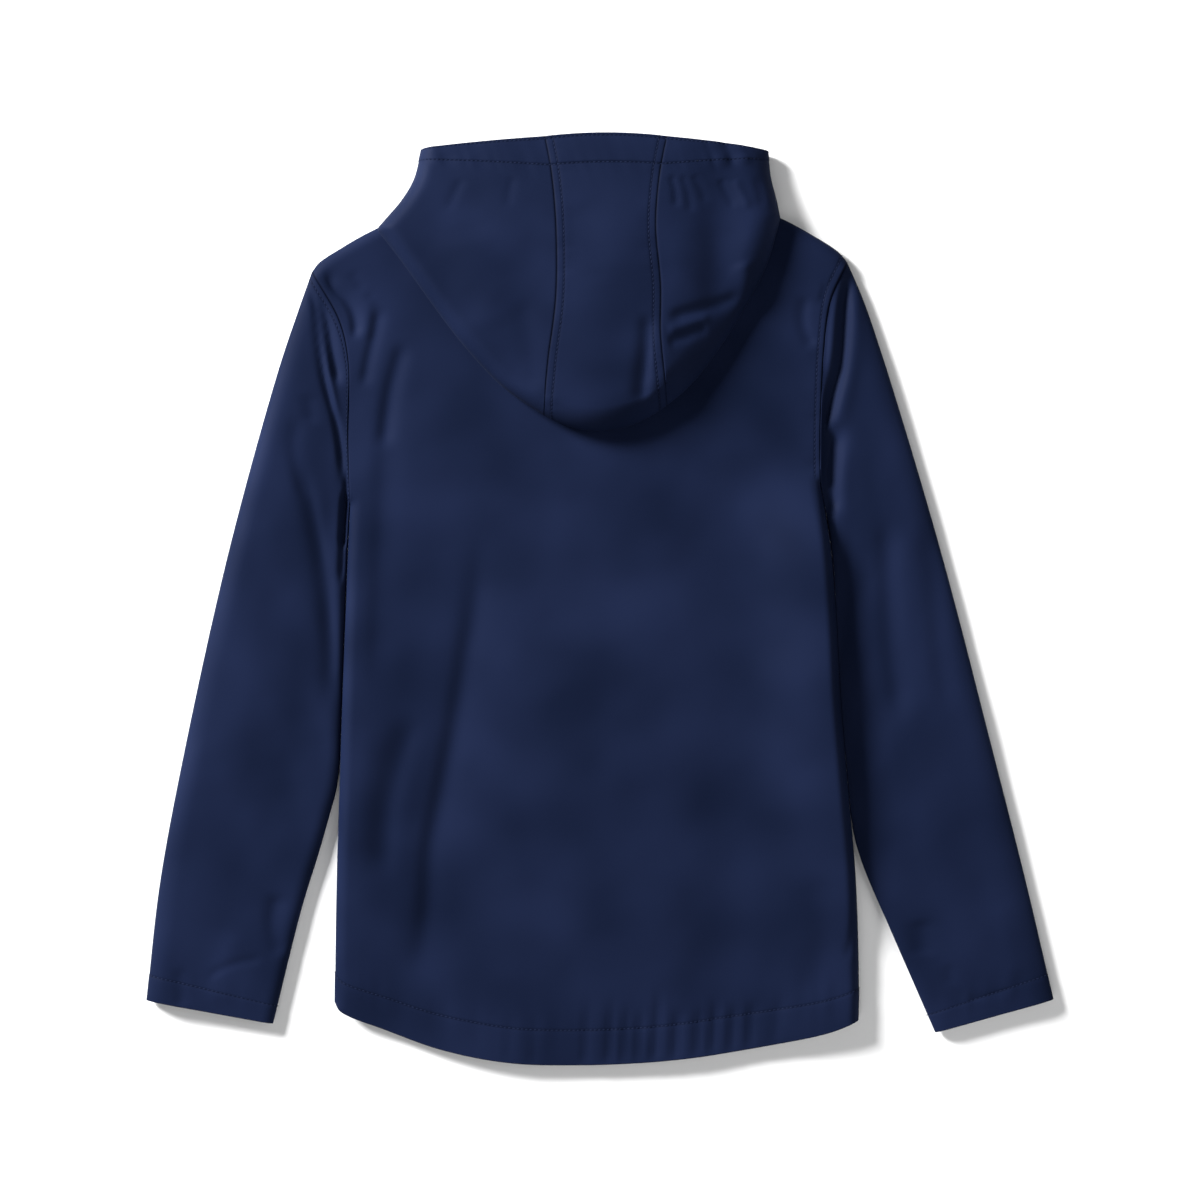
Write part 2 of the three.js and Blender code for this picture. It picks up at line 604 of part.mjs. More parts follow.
// Point beside the front neck edge, on the side of the hood
function besideFrontNeck(x) {
  const share = shareAt(neckFront, 'x', x);
  const tangent = neckFront(share + NEARBY).sub(neckFront(share - NEARBY)).normalize();
  return neckFront(share).addScaledVector(new THREE.Vector3(-tangent.y, tangent.x, 0), 2 * SEAM_GAP);
}

// Depth of the hollow in the hood's right side
function hollowAt(point) {
  const { x, y, depth, across, along } = HOOD_HOLLOW;
  return depth * Math.exp(-(((point.x - x) / across) ** 2) - ((point.y - y) / along) ** 2);
}

// A side of the hood, as a grid from the crown seam over the fold to the neck
function hoodSideSkin(key) {
  const hood = HOOD_SIDES[key];
  const sideFold = spline(hood.sideFold);
  const lowerFold = spline(hood.lowerFold);
  const turning = hood.neck.filter((row) => row.at <= HOOD_SHOULDER);
  const fold = (at) => (at <= HOOD_SHOULDER
    ? sideFold(lookUp(turning, 'at', 'turn', at))
    : lowerFold((at - HOOD_SHOULDER) / (1 - HOOD_SHOULDER)));
  const chinEnd = hood.neck[1].at;
  const neck = (at) => (at < chinEnd
    ? besideFrontNeck(mix(hood.neck[0].x, hood.neck[1].x, at / chinEnd))
    : flat({ x: lookUp(hood.neck, 'at', 'x', at), y: lookUp(hood.neck, 'at', 'y', at) }));
  const seam = spline(hood.seam);
  const upper = patch(spline(hood.brim), line(seam(1), fold(1)), seam, fold);
  const tip = hood.neck[2];
  const under = (share, at) => {
    if (at >= tip.at) return line(fold(at), neck(at))(share);
    const pass = line(flat(hood.lowerBrim), flat(tip))(at / tip.at);
    return spline([fold(at), pass, neck(at)])(share);
  };
  const fromFold = distanceTo([sideFold, lowerFold]);
  return hoodRows.map((at) => {
    const rest = lookUp(hood.neck, 'at', 'z', at);
    const top = HOOD_UPPER.map((share) => {
      const point = upper(share, at);
      const foldHeight = lookUp(HOOD_HEIGHTS, 'y', 'fold', point.y);
      const crown = lookUp(HOOD_HEIGHTS, 'y', 'top', point.y) - HOOD_SIDE_DROP[key] * ease(share);
      const height = crown - hollowAt(point);
      point.z = mix(foldHeight, height, rounded(fromFold(point), HOOD_TOP_ROLL));
      return point;
    });
    const bottom = HOOD_UNDER.map((share) => {
      const point = under(share, at);
      const foldHeight = lookUp(HOOD_HEIGHTS, 'y', 'fold', point.y);
      point.z = mix(foldHeight, rest, rounded(fromFold(point), HOOD_UNDER_ROLL));
      return point;
    });
    return [...top, ...bottom];
  });
}

// The crown seam of a side: down its upper edge, then round the fold to the back neck
function crownSeam(skin, shift) {
  const upper = skin.map((row) => row[0]);
  const round = skin[skin.length - 1].slice(1);
  return [...upper, ...round].map((point) => point.clone().add(new THREE.Vector3(shift, 0, 0)));
}

// Middle strip of the hood, between the two crown seams
function hoodCentreSkin(leftSkin, rightSkin) {
  const left = crownSeam(leftSkin, SEAM_GAP);
  const right = crownSeam(rightSkin, -SEAM_GAP);
  const foldRow = leftSkin.length + HOOD_UPPER.length - 2;
  const across = [0, 0.2, 0.4, 0.6, 0.8, 1];
  return left.map((from, i) => {
    const to = right[i];
    const fromFold = from.distanceTo(left[foldRow]);
    const bulge = -HOOD_FOLD_BULGE * Math.exp(-((fromFold / HOOD_BULGE_REACH) ** 2));
    const at = hoodRows[Math.min(i, hoodRows.length - 1)];
    const arch = HOOD_BRIM_ARCH * (1 - ease(at / HOOD_BRIM_ARCH_END));
    return across.map((share) => {
      const point = new THREE.Vector3().lerpVectors(from, to, share);
      point.y += (bulge + arch) * 4 * share * (1 - share);
      return point;
    });
  });
}

function pressStuds() {
  const [low, high] = [HEM_CENTRE.y + STUD_MARGIN, CHIN.y - STUD_MARGIN / 2];
  const profile = [
    { radius: 0, height: 0 }, { radius: STUD_RADIUS - 0.4, height: 0 }, { radius: STUD_RADIUS, height: 0.4 },
    { radius: STUD_RADIUS, height: 0.6 }, { radius: STUD_RADIUS - 0.8, height: STUD_HEIGHT },
    { radius: 0, height: STUD_HEIGHT },
  ].map(({ radius, height }) => new THREE.Vector2(radius, height));
  return Array.from({ length: STUD_COUNT }, (_, i) => {
    const y = mix(high, low, i / (STUD_COUNT - 1));
    const geometry = new THREE.LatheGeometry(profile, STUD_SIDES);
    geometry.rotateX(Math.PI / 2);
    const material = new THREE.MeshStandardMaterial({ color: STUD_NAVY, roughness: 0.45, metalness: 0 });
    const mesh = new THREE.Mesh(geometry, material);
    mesh.name = `press_stud_${i + 1}`;
    mesh.position.set(centreAt(y), y, 0);
    return mesh;
  });
}

const hoodCasing = (i) => (hoodRows[i] <= HOOD_CASING ? HEM_RISE : 0);
const hoodLeft = hoodSideSkin('left');
const hoodRight = hoodSideSkin('right');
const onTop = (j) => j < HOOD_UPPER.length - 1;

const raincoat = new THREE.Group();
raincoat.add(
  backPanel(),
  frontPanel('front_left', -1),
  frontPanel('front_right', 1),
  sleevePiece('sleeve_left', 'left'),
  sleevePiece('sleeve_right', 'right'),
  clothPiece('hood_side_left', hoodLeft, { rise: (i, j) => (onTop(j) ? hoodCasing(i) : 0) }),
  clothPiece('hood_side_right', hoodRight, { flip: true, rise: (i, j) => (onTop(j) ? hoodCasing(i) : 0) }),
  clothPiece('hood_centre', hoodCentreSkin(hoodLeft, hoodRight), {
    flip: true,
    rise: (i) => (i < hoodRows.length ? hoodCasing(i) : 0),
  }),
  ...pressStuds(),
);

export default raincoat;
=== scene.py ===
from collections import namedtuple

import bpy
import numpy as np
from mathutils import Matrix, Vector


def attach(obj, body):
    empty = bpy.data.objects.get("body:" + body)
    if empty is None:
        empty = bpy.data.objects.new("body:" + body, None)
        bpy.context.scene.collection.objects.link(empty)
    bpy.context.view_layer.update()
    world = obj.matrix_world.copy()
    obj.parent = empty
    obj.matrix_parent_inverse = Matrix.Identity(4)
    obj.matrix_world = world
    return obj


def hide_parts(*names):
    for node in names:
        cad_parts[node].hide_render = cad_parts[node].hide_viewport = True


# A child's raincoat, laid flat with its back up and its hood folded down over the back.
# Lengths are in millimetres until a mesh is made. X runs across, Y from hem to hood, Z up.

MM = 0.001
CLOTH = 0.9
HEM_CLOTH = 1.7
HEM_RISE = 0.35
HEM_STEP = 3.6
HEM_WIDTH = 21
CUFF_WIDTH = 18
FRONT_HEM_SHORTER = 2
SEAM_GAP = 0.15
SEAM_DEPTH = 0.4
SEAM_HALF = 0.65
# How strongly rows of stitches get the painted shade of the seam grooves
STITCH_PAINTED_SHADE = 0.65
STITCH_DEPTH = 0.24
STITCH_HALF = 0.8
TOPSTITCH = 5.2
EDGE_STITCH = 2

# Heights over the table
LOFT = 9
SIDE_SEAM_HEIGHT = 4.5
SIDE_SEAM_GAP = 0.3
HOOD_REST = LOFT + 0.6
ROLL = 9
HOOD_TOP_ROLL = 12
# To the right the hood's fold turns down more broadly: how much more roll and how much lower
HOOD_RIGHT_ROLL = 9
HOOD_RIGHT_LOWER = 3
HOOD_RIGHT_FULL = 60
HOOD_UNDER_ROLL = 10

# Placket and press studs
PLACKET_HALF = 20
PLACKET_SLOPE = 10
PLACKET_CLEARANCE = 5
STUD_COUNT = 5
STUD_HEIGHT = 0.9
STUD_MARGIN = 45
PLACKET_OUTER_HEIGHT = STUD_HEIGHT + 0.3
PLACKET_INNER_HEIGHT = PLACKET_OUTER_HEIGHT + 1.9

# Distances from an edge at which its rows of points lie: the rounded edge, then a row of stitches
EDGE = [0, 0.3, 0.7, 1.2, 1.9, 2.8, 3.7, 4.4, 4.8, 5.2, 5.6, 6, 6.8, 8, 9.6]
HOOD_SEAM_EDGE = [0, 0.3, 0.7, 1.2, 2, 3.2]
FOLD_EDGE = [0, 0.3, 0.9, 1.8, 3, 4.5, 6.4, 8.6, 11, 13.6]
HEM_EDGE = [0, 0.3, 0.8, 1.6, 3, 5.5, 8.5, 11.5, 14.5, 17.5, 19.6, 20.2, 20.6, 21, 21.4, 21.8, 22.6, 24]
CUFF_EDGE = [0, 0.3, 0.8, 1.6, 3, 5.5, 8.5, 11.5, 14.5, 16.6, 17.2, 17.6, 18, 18.4, 18.8, 19.6, 21]

# Seams and edges seen from above
SIDE_LEFT = [(-191.5, -290), (-190.5, -215), (-188.5, -144), (-185.5, -54), (-182.5, 25), (-180.5, 68.5)]
SIDE_RIGHT = [
    (186.5, -303), (187, -277), (185, -205), (180, -144), (174, -72), (170, 0), (166.5, 40), (159, 84)]
ARMHOLE_LEFT = [(-180.5, 68.5), (-182, 122), (-181.5, 173), (-188, 202), (-208, 237)]
ARMHOLE_RIGHT = [(159, 84), (159, 125), (161, 178), (166, 216), (178.5, 244)]
SHOULDER_LEFT = [(-208, 237), (-203, 243.5), (-188, 253.5), (-165, 266.5), (-102, 293)]
SHOULDER_RIGHT = [(72, 298), (129, 276.5), (150, 265.5), (172, 251.5), (178.5, 244)]
NECK_BACK = [(-102, 293), (-79, 285), (-50, 281), (-14, 279.5), (20, 281.5), (49, 288), (72, 298)]
NECK_FRONT = [(-102, 293), (-86.5, 270), (-57.5, 248.5), (-14, 237.5), (28, 249.5), (58, 272.5), (72, 298)]
HEM = [
    (-191.5, -290), (-187, -296.5), (-155.5, -309.5), (-115, -324), (-65, -333.5), (-7, -335),
    (57.5, -331), (129.5, -319.5), (165, -311.5), (186.5, -303)]
HEM_CENTRE = (-2, -335)
CHIN = (-14, 237.5)
UNDERARM = 0.69
LEFT_NECK_SHARE = 0.274
RIGHT_NECK_SHARE = 0.725
SHOULDER_SHARE = 0.5

# The back swells beside its side seams, from below the underarm: height, distance, half width
SIDE_SWELLS = {"left": (3.5, 8, 32), "right": (10.5, 2, 52)}
SWELL_TOP = 105
SWELL_FADE = 80
# It sinks to a share of that height toward the hem
SWELL_LOW = -190
SWELL_AT_HEM = 0.45

# A sleeve: its edges in plan, and the heights of its upper layer along it, beside the body and outside
# It lies close along its side seam from one Y to another, then leaves it through the inner points.
Sleeve = namedtuple("Sleeve", "side armhole outer seam close inner along beside outside")
SLEEVE_GAP = 0.3
SLEEVE_POINT_STEP = 20
SLEEVE_OUTER_ROLL = 15
SLEEVE_LOWEST = 2.4
SLEEVES = {
    "left": Sleeve(
        -1, ARMHOLE_LEFT,
        [(-218, 209), (-232.5, 165.5), (-268, 36), (-300, -108), (-318, -205), (-327.5, -288.5)],
        SIDE_LEFT, (52, -118),
        [(-190.6, -138), (-194.4, -152), (-202.3, -180), (-215.5, -223), (-236, -305.5)],
        [0, 0.16, 0.55, 1], [LOFT, 8.6, 9, 9], [LOFT, 13, 13.6, 11.5]),
    "right": Sleeve(
        1, ARMHOLE_RIGHT,
        [(190.5, 216), (207.5, 165.5), (246, 36), (283.5, -108), (308, -205), (327.5, -288)],
        SIDE_RIGHT, (68, -156), [(184.4, -174), (190.8, -194), (209.5, -237.5), (242, -312)],
        [0, 0.16, 0.55, 1], [LOFT, 5, 4.8, 8], [LOFT, 9.4, 9, 9]),
}

# A side of the hood. Its neck rows say where its lower edge runs, from the chin round the shoulder to
# the back neck, and turn is the share of the side fold that has been passed there.
Neck = namedtuple("Neck", "at turn x y z")
HoodSide = namedtuple("HoodSide", "brim lower_brim seam side_fold lower_fold neck")
HOOD_SHOULDER = 0.4
HOOD_CASING = 0.115
HOOD_SIDES = {
    "left": HoodSide(
        [(-39.5, 332.5), (-86.5, 328.5), (-129, 324)],
        (-86, 308),
        [(-39.5, 332.5), (-35, 308), (-31.5, 270), (-31.5, 216), (-37, 172), (-39.5, 148)],
        [(-129, 324), (-134.5, 302), (-144, 286), (-152.5, 276), (-160.5, 266.5)],
        [(-160.5, 266.5), (-144, 245), (-101, 186.5), (-72, 155), (-54, 141.5), (-40.5, 133)],
        [
            Neck(0, 0, -18.5, 238.6, 0), Neck(0.28, 0.3, -98.7, 290.4, 0.5),
            Neck(0.31, 0.5, -99.4, 297, 1.8),
            Neck(0.34, 0.72, -101, 298, 2.4), Neck(0.37, 0.86, -102.5, 298, 5),
            Neck(0.4, 1, -102.5, 295.8, HOOD_REST), Neck(0.5, 1, -95, 291.5, HOOD_REST),
            Neck(0.68, 1, -79, 286, HOOD_REST), Neck(1, 1, -49, 281.5, HOOD_REST)]),
    "right": HoodSide(
        [(48, 332.5), (86.5, 328.5), (121.5, 323.5)],
        (58, 312),
        [(48, 332.5), (43, 306), (40, 268), (43.5, 225), (43.5, 190), (47, 155)],
        [(121.5, 323.5), (123.5, 304), (127, 290), (130, 275)],
        [(130, 275), (120, 241), (106.5, 214), (90, 187), (72, 162), (60, 149.5), (48.5, 140)],
        [
            Neck(0, 0, -9.5, 238.6, 0), Neck(0.28, 0.3, 69.2, 295.2, 0.5), Neck(0.31, 0.5, 70.5, 301, 0.8),
            Neck(0.34, 0.72, 71.5, 302, 1.5), Neck(0.37, 0.86, 72.5, 302.2, 5),
            Neck(0.4, 1, 72.5, 300.8, HOOD_REST), Neck(0.5, 1, 64.5, 296.3, HOOD_REST),
            Neck(0.68, 1, 49, 289.5, HOOD_REST), Neck(1, 1, 20, 282.5, HOOD_REST)]),
}
# Heights of the hood's upper layer and of its fold, at places from the lower fold up to the brim
HOOD_Y = [115, 150, 200, 266, 300, 336]
HOOD_TOP = [27, 30, 32, 31, 27, 20]
HOOD_FOLD = [16.5, 16.5, 16, 14.5, 11, 8]
HOOD_SIDE_DROP = {"left": 0, "right": 5.5}
# Hollow in the right side: its middle, depth, and half widths across and along
HOOD_HOLLOW = (86, 245, 5, 17, 52)
HOOD_BRIM_ARCH = 2.5
HOOD_FOLD_BULGE = 15
HOOD_BULGE_REACH = 55
HOOD_LENGTH = 200

# Folds: the points that each passes from the top down, its height, which is negative in a trough,
# and its half width on its west and east sides, all spread by the same share
FOLD_SPREAD = 1.35
FOLD_FADE = 5.5
Fold = namedtuple("Fold", "path rise west east")
BACK_FOLDS = [
    Fold([(-87.8, 72), (-87.8, 36), (-90, 0), (-95, -36), (-100.8, -72), (-108, -108), (-115.2, -144),
          (-122.4, -180), (-123.8, -216), (-126, -244.8), (-135.4, -266.4), (-140.4, -288)], -3.2, 20, 18),
    Fold([(-87.8, 57.6), (-89.3, 0), (-96.5, -43.2), (-104.4, -90), (-114.5, -140.4), (-122.4, -180),
          (-123.8, -219.6), (-128.9, -252), (-138.2, -282.2)], -1.1, 4.4, 6),
    Fold([(-103, 43.2), (-105.8, -14.4), (-113.8, -72), (-123.8, -129.6), (-133.2, -180), (-138.2, -230.4),
          (-146.9, -267.8)], 1.3, 12, 6),
    Fold([(-133.2, -80.6), (-145.4, -118.8), (-154.1, -158.4), (-154.8, -205.2)], -2.1, 8, 6),
    Fold([(-164.2, -86.4), (-172.8, -136.8), (-175.7, -187.2)], 0.8, 9, 8),
    Fold([(-141.1, 188.6), (-146.2, 169.2), (-151.2, 149.8), (-154.1, 129.6), (-156.2, 106.6)],
         -1.9, 3.8, 4.6),
    Fold([(-145.4, 172.8), (-152.6, 129.6), (-156.2, 72), (-159.1, 0), (-161.3, -72)], -1.3, 6, 9),
    Fold([(-197.3, 239), (-192.2, 225.4), (-183.6, 216.7), (-178.6, 208.1), (-176.4, 198), (-177.1, 185.8)],
         -1.8, 2.4, 3.2),
    Fold([(-159.1, 213.1), (-162.7, 190.8), (-167, 172.8), (-170.6, 151.2)], -1.5, 2.8, 3.8),
    Fold([(-172.1, 227.5), (-167, 210.2), (-169.2, 185.8)], 0.7, 4, 3),
    Fold([(-180, 237.6), (-171.4, 224.6), (-163.4, 215.3)], -0.5, 2.6, 3),
    Fold([(12, 20), (22, -57.6), (30, -129.6), (36, -194.4), (48, -262.8)], 3.4, 34, 30),
    Fold([(92, 110), (104, 40), (110, -40), (116, -120)], -2.8, 24, 22),
    Fold([(185.8, -213.1), (182.2, -236.2), (177.1, -260.6)], -0.9, 2.2, 3),
    Fold([(152.6, -195.8), (161.3, -241.9), (148.3, -289.4)], -1.1, 8, 10),
    Fold([(148.3, 220.3), (146.2, 204.5), (149, 191.5), (154.8, 181.4)], -1.2, 3.6, 2.8),
    Fold([(162.7, 229), (159.1, 213.8)], -0.5, 1.4, 1.6),
    Fold([(-39.6, 93.6), (-43.2, 28.8), (-37.4, -36)], -0.5, 16, 12),
    Fold([(122.4, -28.8), (136.8, -100.8), (141.1, -172.8)], 0.7, 20, 16),
    Fold([(-72, -187.2), (-57.6, -237.6), (-61.2, -288)], 0.6, 14, 14),
    Fold([(64.8, -201.6), (75.6, -252), (64.8, -295.2)], -0.6, 12, 14),
]
# Puckers across the hem, and how far each reaches above the hem's stitches
Pucker = namedtuple("Pucker", "x reach depth")
HEM_PUCKERS = [
    Pucker(-11, 26, 1.1), Pucker(6, 24, 1.6), Pucker(17, 18, 1.5), Pucker(27, 12, 1.3), Pucker(39, 28, 2),
    Pucker(54, 12, 1.8), Pucker(70, 10, 1.5), Pucker(81, 14, 1.7), Pucker(95, 9, 1.6), Pucker(108, 9, 1.5),
    Pucker(126, 8, 0.8), Pucker(-48, 16, 0.8), Pucker(-66, 12, 0.6),
]
PUCKER_HALF = 3
PUCKER_LEAN = 0.08
FRONT_FOLDS = [
    Fold([(-120, 120), (-128, 20), (-140, -120)], 0.9, 8, 12),
    Fold([(-70, 190), (-82, 120), (-86, 40)], 0.6, 8, 8),
    Fold([(96, 150), (108, 60), (112, -60)], 0.8, 12, 8),
    Fold([(70, -80), (84, -160), (90, -260)], 0.7, 10, 10),
]
SLEEVE_FOLDS = {
    "left": [
        Fold([(-213.8, 229.7), (-207.4, 218.2), (-203.8, 205.2), (-202.3, 190.8), (-200.9, 178.6),
              (-198.7, 161.3), (-195.1, 146.2), (-190.8, 131), (-187.9, 115.2), (-185.8, 97.2),
              (-184.3, 77.8)],
             -2.6, 2.2, 2),
        Fold([(-204.5, 218.9), (-201.6, 203), (-199.4, 183.6), (-195.8, 164.2), (-191.5, 142.6),
              (-187.9, 123.8)],
             1.5, 2.2, 2.2),
        Fold([(-200.9, 220.3), (-198, 205.2), (-195.1, 187.2), (-191.5, 168.5), (-188.6, 152.6)],
             -2.8, 2.6, 3.2),
        Fold([(-211, 148.3), (-208.8, 138.2), (-207.4, 126.7)], -0.9, 4, 4),
        Fold([(-216, 133.2), (-221, 115.2), (-218.2, 93.6), (-212.4, 70.6)], -0.8, 3, 4),
        Fold([(-216, 104.4), (-205.9, 57.6), (-200.2, 28.8), (-195.8, -7.2), (-193.7, -43.2),
              (-193.7, -80.6)],
             -2, 5, 3.8),
        Fold([(-183.4, 78), (-184.6, 58), (-185.8, 36)], -4, 1.8, 1.6),
        Fold([(-182, 96), (-184.6, 58), (-187, 8)], -2.2, 1.6, 1.5),
        Fold([(-186.5, 20), (-187.2, -20), (-188.6, -64.8)], 1, 4, 2.6),
        Fold([(-239, 72), (-252, -28.8), (-270, -154.8)], 1.2, 18, 14),
        Fold([(-266.4, 28.8), (-277.9, -36), (-290.9, -115.2)], -0.5, 10, 8),
        Fold([(-232.6, -210.2), (-236.2, -236.2), (-229, -257.8)], -1.5, 4, 5),
        Fold([(-284.4, -272.9), (-270, -265), (-255.6, -260.6), (-241.9, -259.2)], -0.8, 1.8, 2.2),
        Fold([(-303.8, -265), (-301.7, -293.8)], -0.8, 3, 4),
        Fold([(-260.6, -237.6), (-269.3, -262.8), (-277.2, -295.2)], 0.7, 6, 7),
    ],
    "right": [
        Fold([(178.6, 249.1), (177.1, 230.4), (176.4, 216), (175, 187.2), (172.1, 165.6), (167, 146.9),
              (162.7, 131.8), (158.4, 110.9)], -4.8, 3, 4),
        Fold([(170.6, 227.5), (167, 203), (166.3, 180), (164.2, 161.3)], 1, 2.6, 3.2),
        Fold([(183.6, 227.5), (182.2, 194.4), (180, 165.6), (175, 142.6), (169.9, 118.1)], 1.1, 2.8, 5),
        Fold([(170, 128), (166.5, 108), (164.5, 84), (166, 58)], -5.2, 4, 5.5),
        Fold([(178.6, 115.2), (174.2, 72), (171.4, 28.8)], 0.8, 3, 5),
        Fold([(203, 66), (207.4, 34.6), (208.8, 0), (211.7, -44), (219, -92)], -2, 6, 7),
        Fold([(232, 58), (238.3, 31.7), (242.6, 0), (245.5, -39.6), (252, -84)], -1.5, 6, 7),
        Fold([(216, -64.8), (241.2, -165.6), (275, -260.6)], 0.9, 14, 12),
        Fold([(193, -28.8), (195.8, -72), (201.6, -122.4)], -0.5, 5, 6),
        Fold([(231.8, -230.4), (233.3, -257.8)], -1.3, 6, 6),
        Fold([(252, -263.5), (253.4, -277.9)], -0.6, 3.6, 4),
        Fold([(263.5, -288.7), (280.8, -285.8), (298.1, -280.1)], -0.6, 1.8, 2),
        Fold([(288, -216), (295.2, -244.8), (302.4, -277.2)], 0.5, 6, 6),
    ],
}
HOOD_FOLDS = [
    Fold([(36.7, 207), (34.6, 181.4), (31.7, 159.8), (29.5, 138)], -2.8, 5, 3),
    Fold([(-146, 262), (-118, 231.5), (-87.5, 182), (-60, 158), (-41, 148)], -2.2, 7, 14),
    Fold([(47, 201), (62, 205.5), (84, 212), (104, 219)], -2, 4, 3),
    Fold([(47, 183.5), (60, 188.5), (78, 196)], -1.5, 3.4, 2.6),
    Fold([(47, 192), (60, 196.5), (80, 203)], 1, 2.6, 2.6),
    Fold([(50.5, 305), (53.5, 294), (54.5, 280)], -1, 1.8, 2.2),
    Fold([(58, 305), (62.5, 292), (65, 276)], -0.8, 2, 2.4),
    Fold([(66, 305), (72, 294), (76, 284)], -0.6, 2, 2.6),
    Fold([(96, 302), (101, 292), (107, 280)], 1, 1.8, 2.2),
    Fold([(86, 303), (90, 293), (97, 281)], -0.8, 2, 2.4),
    Fold([(112, 303), (115, 292), (116, 281)], -0.7, 1.8, 2),
    Fold([(-62, 304), (-65, 292), (-66, 280)], -0.5, 2, 2.4),
    Fold([(-98, 302), (-104, 290), (-108, 278)], -0.6, 2.4, 2),
    Fold([(102.2, 243.4), (106.6, 227.5), (108, 211.7)], 1.8, 5, 3.4),
    Fold([(115.2, 243.4), (113.8, 226.1), (109.4, 207.4)], -1.4, 3, 3.4),
    Fold([(-93.6, 266.4), (-86.4, 230.4), (-72, 190.8)], 0.8, 14, 12),
    Fold([(-57.6, 216), (-49, 180), (-46.1, 147.6)], -0.7, 6, 6),
    Fold([(0, 252), (1.4, 201.6), (0, 154.8)], 0.8, 18, 18),
    Fold([(-18, 284.4), (-7.2, 259.2), (-1.4, 223.2)], -0.5, 9, 9),
]

# Unevenness of the cloth: height, size of its lumps, seed
BACK_UNEVEN = [(1.7, 60, 11), (0.14, 17, 12)]
SLEEVE_UNEVEN = [(0.7, 40, 31), (0.14, 15, 32)]
HOOD_SIDE_UNEVEN = [(0.6, 34, 51), (0.14, 13, 52)]
HOOD_MIDDLE_UNEVEN = [(0.6, 34, 53)]
# Small heights beside a row of stitches, and how far from it they reach
Pull = namedtuple("Pull", "rise spacing seed reach")
HEM_PULL = Pull(0.4, 12, 21, 14)
ARMHOLE_PULL = Pull(0.3, 9, 23, 6)
CUFF_PULL = Pull(0.3, 9, 41, 12)
HOOD_PULL = Pull(0.25, 8, 71, 6)
# Gathers of the hood's casing: spacing, seed, and reach from the casing's and the brim's stitches
GATHER_SPACING = 8.5
GATHER_SEED = 61
CASING_REACH = 10
BRIM_REACH = 8

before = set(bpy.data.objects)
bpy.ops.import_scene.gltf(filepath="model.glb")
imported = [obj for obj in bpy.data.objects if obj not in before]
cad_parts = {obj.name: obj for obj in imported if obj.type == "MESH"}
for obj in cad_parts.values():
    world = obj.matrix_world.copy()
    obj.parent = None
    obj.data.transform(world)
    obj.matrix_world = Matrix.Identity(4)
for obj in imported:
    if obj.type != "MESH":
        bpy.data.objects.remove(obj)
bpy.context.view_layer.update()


def mix(a, b, share):
    return a + (b - a) * share


def ease(value):
    value = np.clip(value, 0, 1)
    return value * value * (3 - 2 * value)


def rounded(distance, radius):
    return np.sqrt(1 - (1 - np.clip(distance / radius, 0, 1)) ** 2)


def bell(distance, half):
    """A soft hump: 1 on a line, falling off to both sides."""
    return np.exp(-((distance / half) ** 2))


def ditch(distance, depth, half):
    return -depth * bell(distance, half)


class Curve:
    """A smooth line through points in plan, read by the share of its length."""

    def __init__(self, points):
        rows = np.array(points, float)
        rows = np.vstack([2 * rows[0] - rows[1], rows, 2 * rows[-1] - rows[-2]])
        t = np.linspace(0, 1, 40, endpoint=False)[:, None]
        made = []
        for a, b, c, d in zip(rows, rows[1:], rows[2:], rows[3:]):
            ab, bc, cd = (np.sqrt(np.linalg.norm(step)) for step in (b - a, c - b, d - c))
            leaving = ((b - a) / ab - (c - a) / (ab + bc) + (c - b) / bc) * bc
            coming = ((c - b) / bc - (d - b) / (bc + cd) + (d - c) / cd) * bc
            cubic = 2 * (b - c) + leaving + coming
            square = 3 * (c - b) - 2 * leaving - coming
            made.append(b + leaving * t + square * t**2 + cubic * t**3)
        self.points = np.vstack([*made, rows[-2:-1]])
        run = np.concatenate([[0], np.cumsum(np.linalg.norm(np.diff(self.points, axis=0), axis=1))])
        self.length = run[-1]
        self.shares = run / run[-1]

    def __call__(self, share):
        share = np.clip(share, 0, 1)
        return np.stack([np.interp(share, self.shares, self.points[:, k]) for k in (0, 1)], -1)


def straight(start, end):
    start, end = np.array(start, float), np.array(end, float)
    return lambda share: start + (end - start) * np.asarray(share, float)[..., None]


def joined(first, second, middle):
    """Two curves end to end, the first up to the share called middle."""
    return lambda share: np.where(
        (share <= middle)[..., None], first(share / middle), second((share - middle) / (1 - middle)))


def share_at_x(curve, x):
    """Share of a curve at which it passes each x, for a curve that runs steadily across."""
    shares = np.linspace(0, 1, 2001)
    across = curve(shares)[:, 0]
    if across[0] > across[-1]:
        shares, across = shares[::-1], across[::-1]
    return np.interp(x, across, shares)


def smooth_value(rows, values, at):
    """Value between the rows of a table, on a curve without kinks."""
    rows, values = np.array(rows, float), np.array(values, float)
    slopes = np.gradient(values, rows)
    at = np.clip(at, rows[0], rows[-1])
    i = np.clip(np.searchsorted(rows, at) - 1, 0, len(rows) - 2)
    step = rows[i + 1] - rows[i]
    t = (at - rows[i]) / step
    low = values[i] * (1 + 2 * t) * (1 - t) ** 2 + values[i + 1] * t * t * (3 - 2 * t)
    return low + step * (slopes[i] * t * (1 - t) ** 2 + slopes[i + 1] * t * t * (t - 1))


def patch(start, end, near, far):
    """Surface in plan between four curves: start and end run across, near and far run along."""
    def surface(across, along):
        a, b = across[..., None], along[..., None]
        none, whole = np.zeros_like(across), np.ones_like(across)
        ruled = near(along) * (1 - a) + far(along) * a
        other = start(across) * (1 - b) + end(across) * b
        low = start(none) * (1 - a) + start(whole) * a
        high = end(none) * (1 - a) + end(whole) * a
        return ruled + other - low * (1 - b) - high * b
    return surface


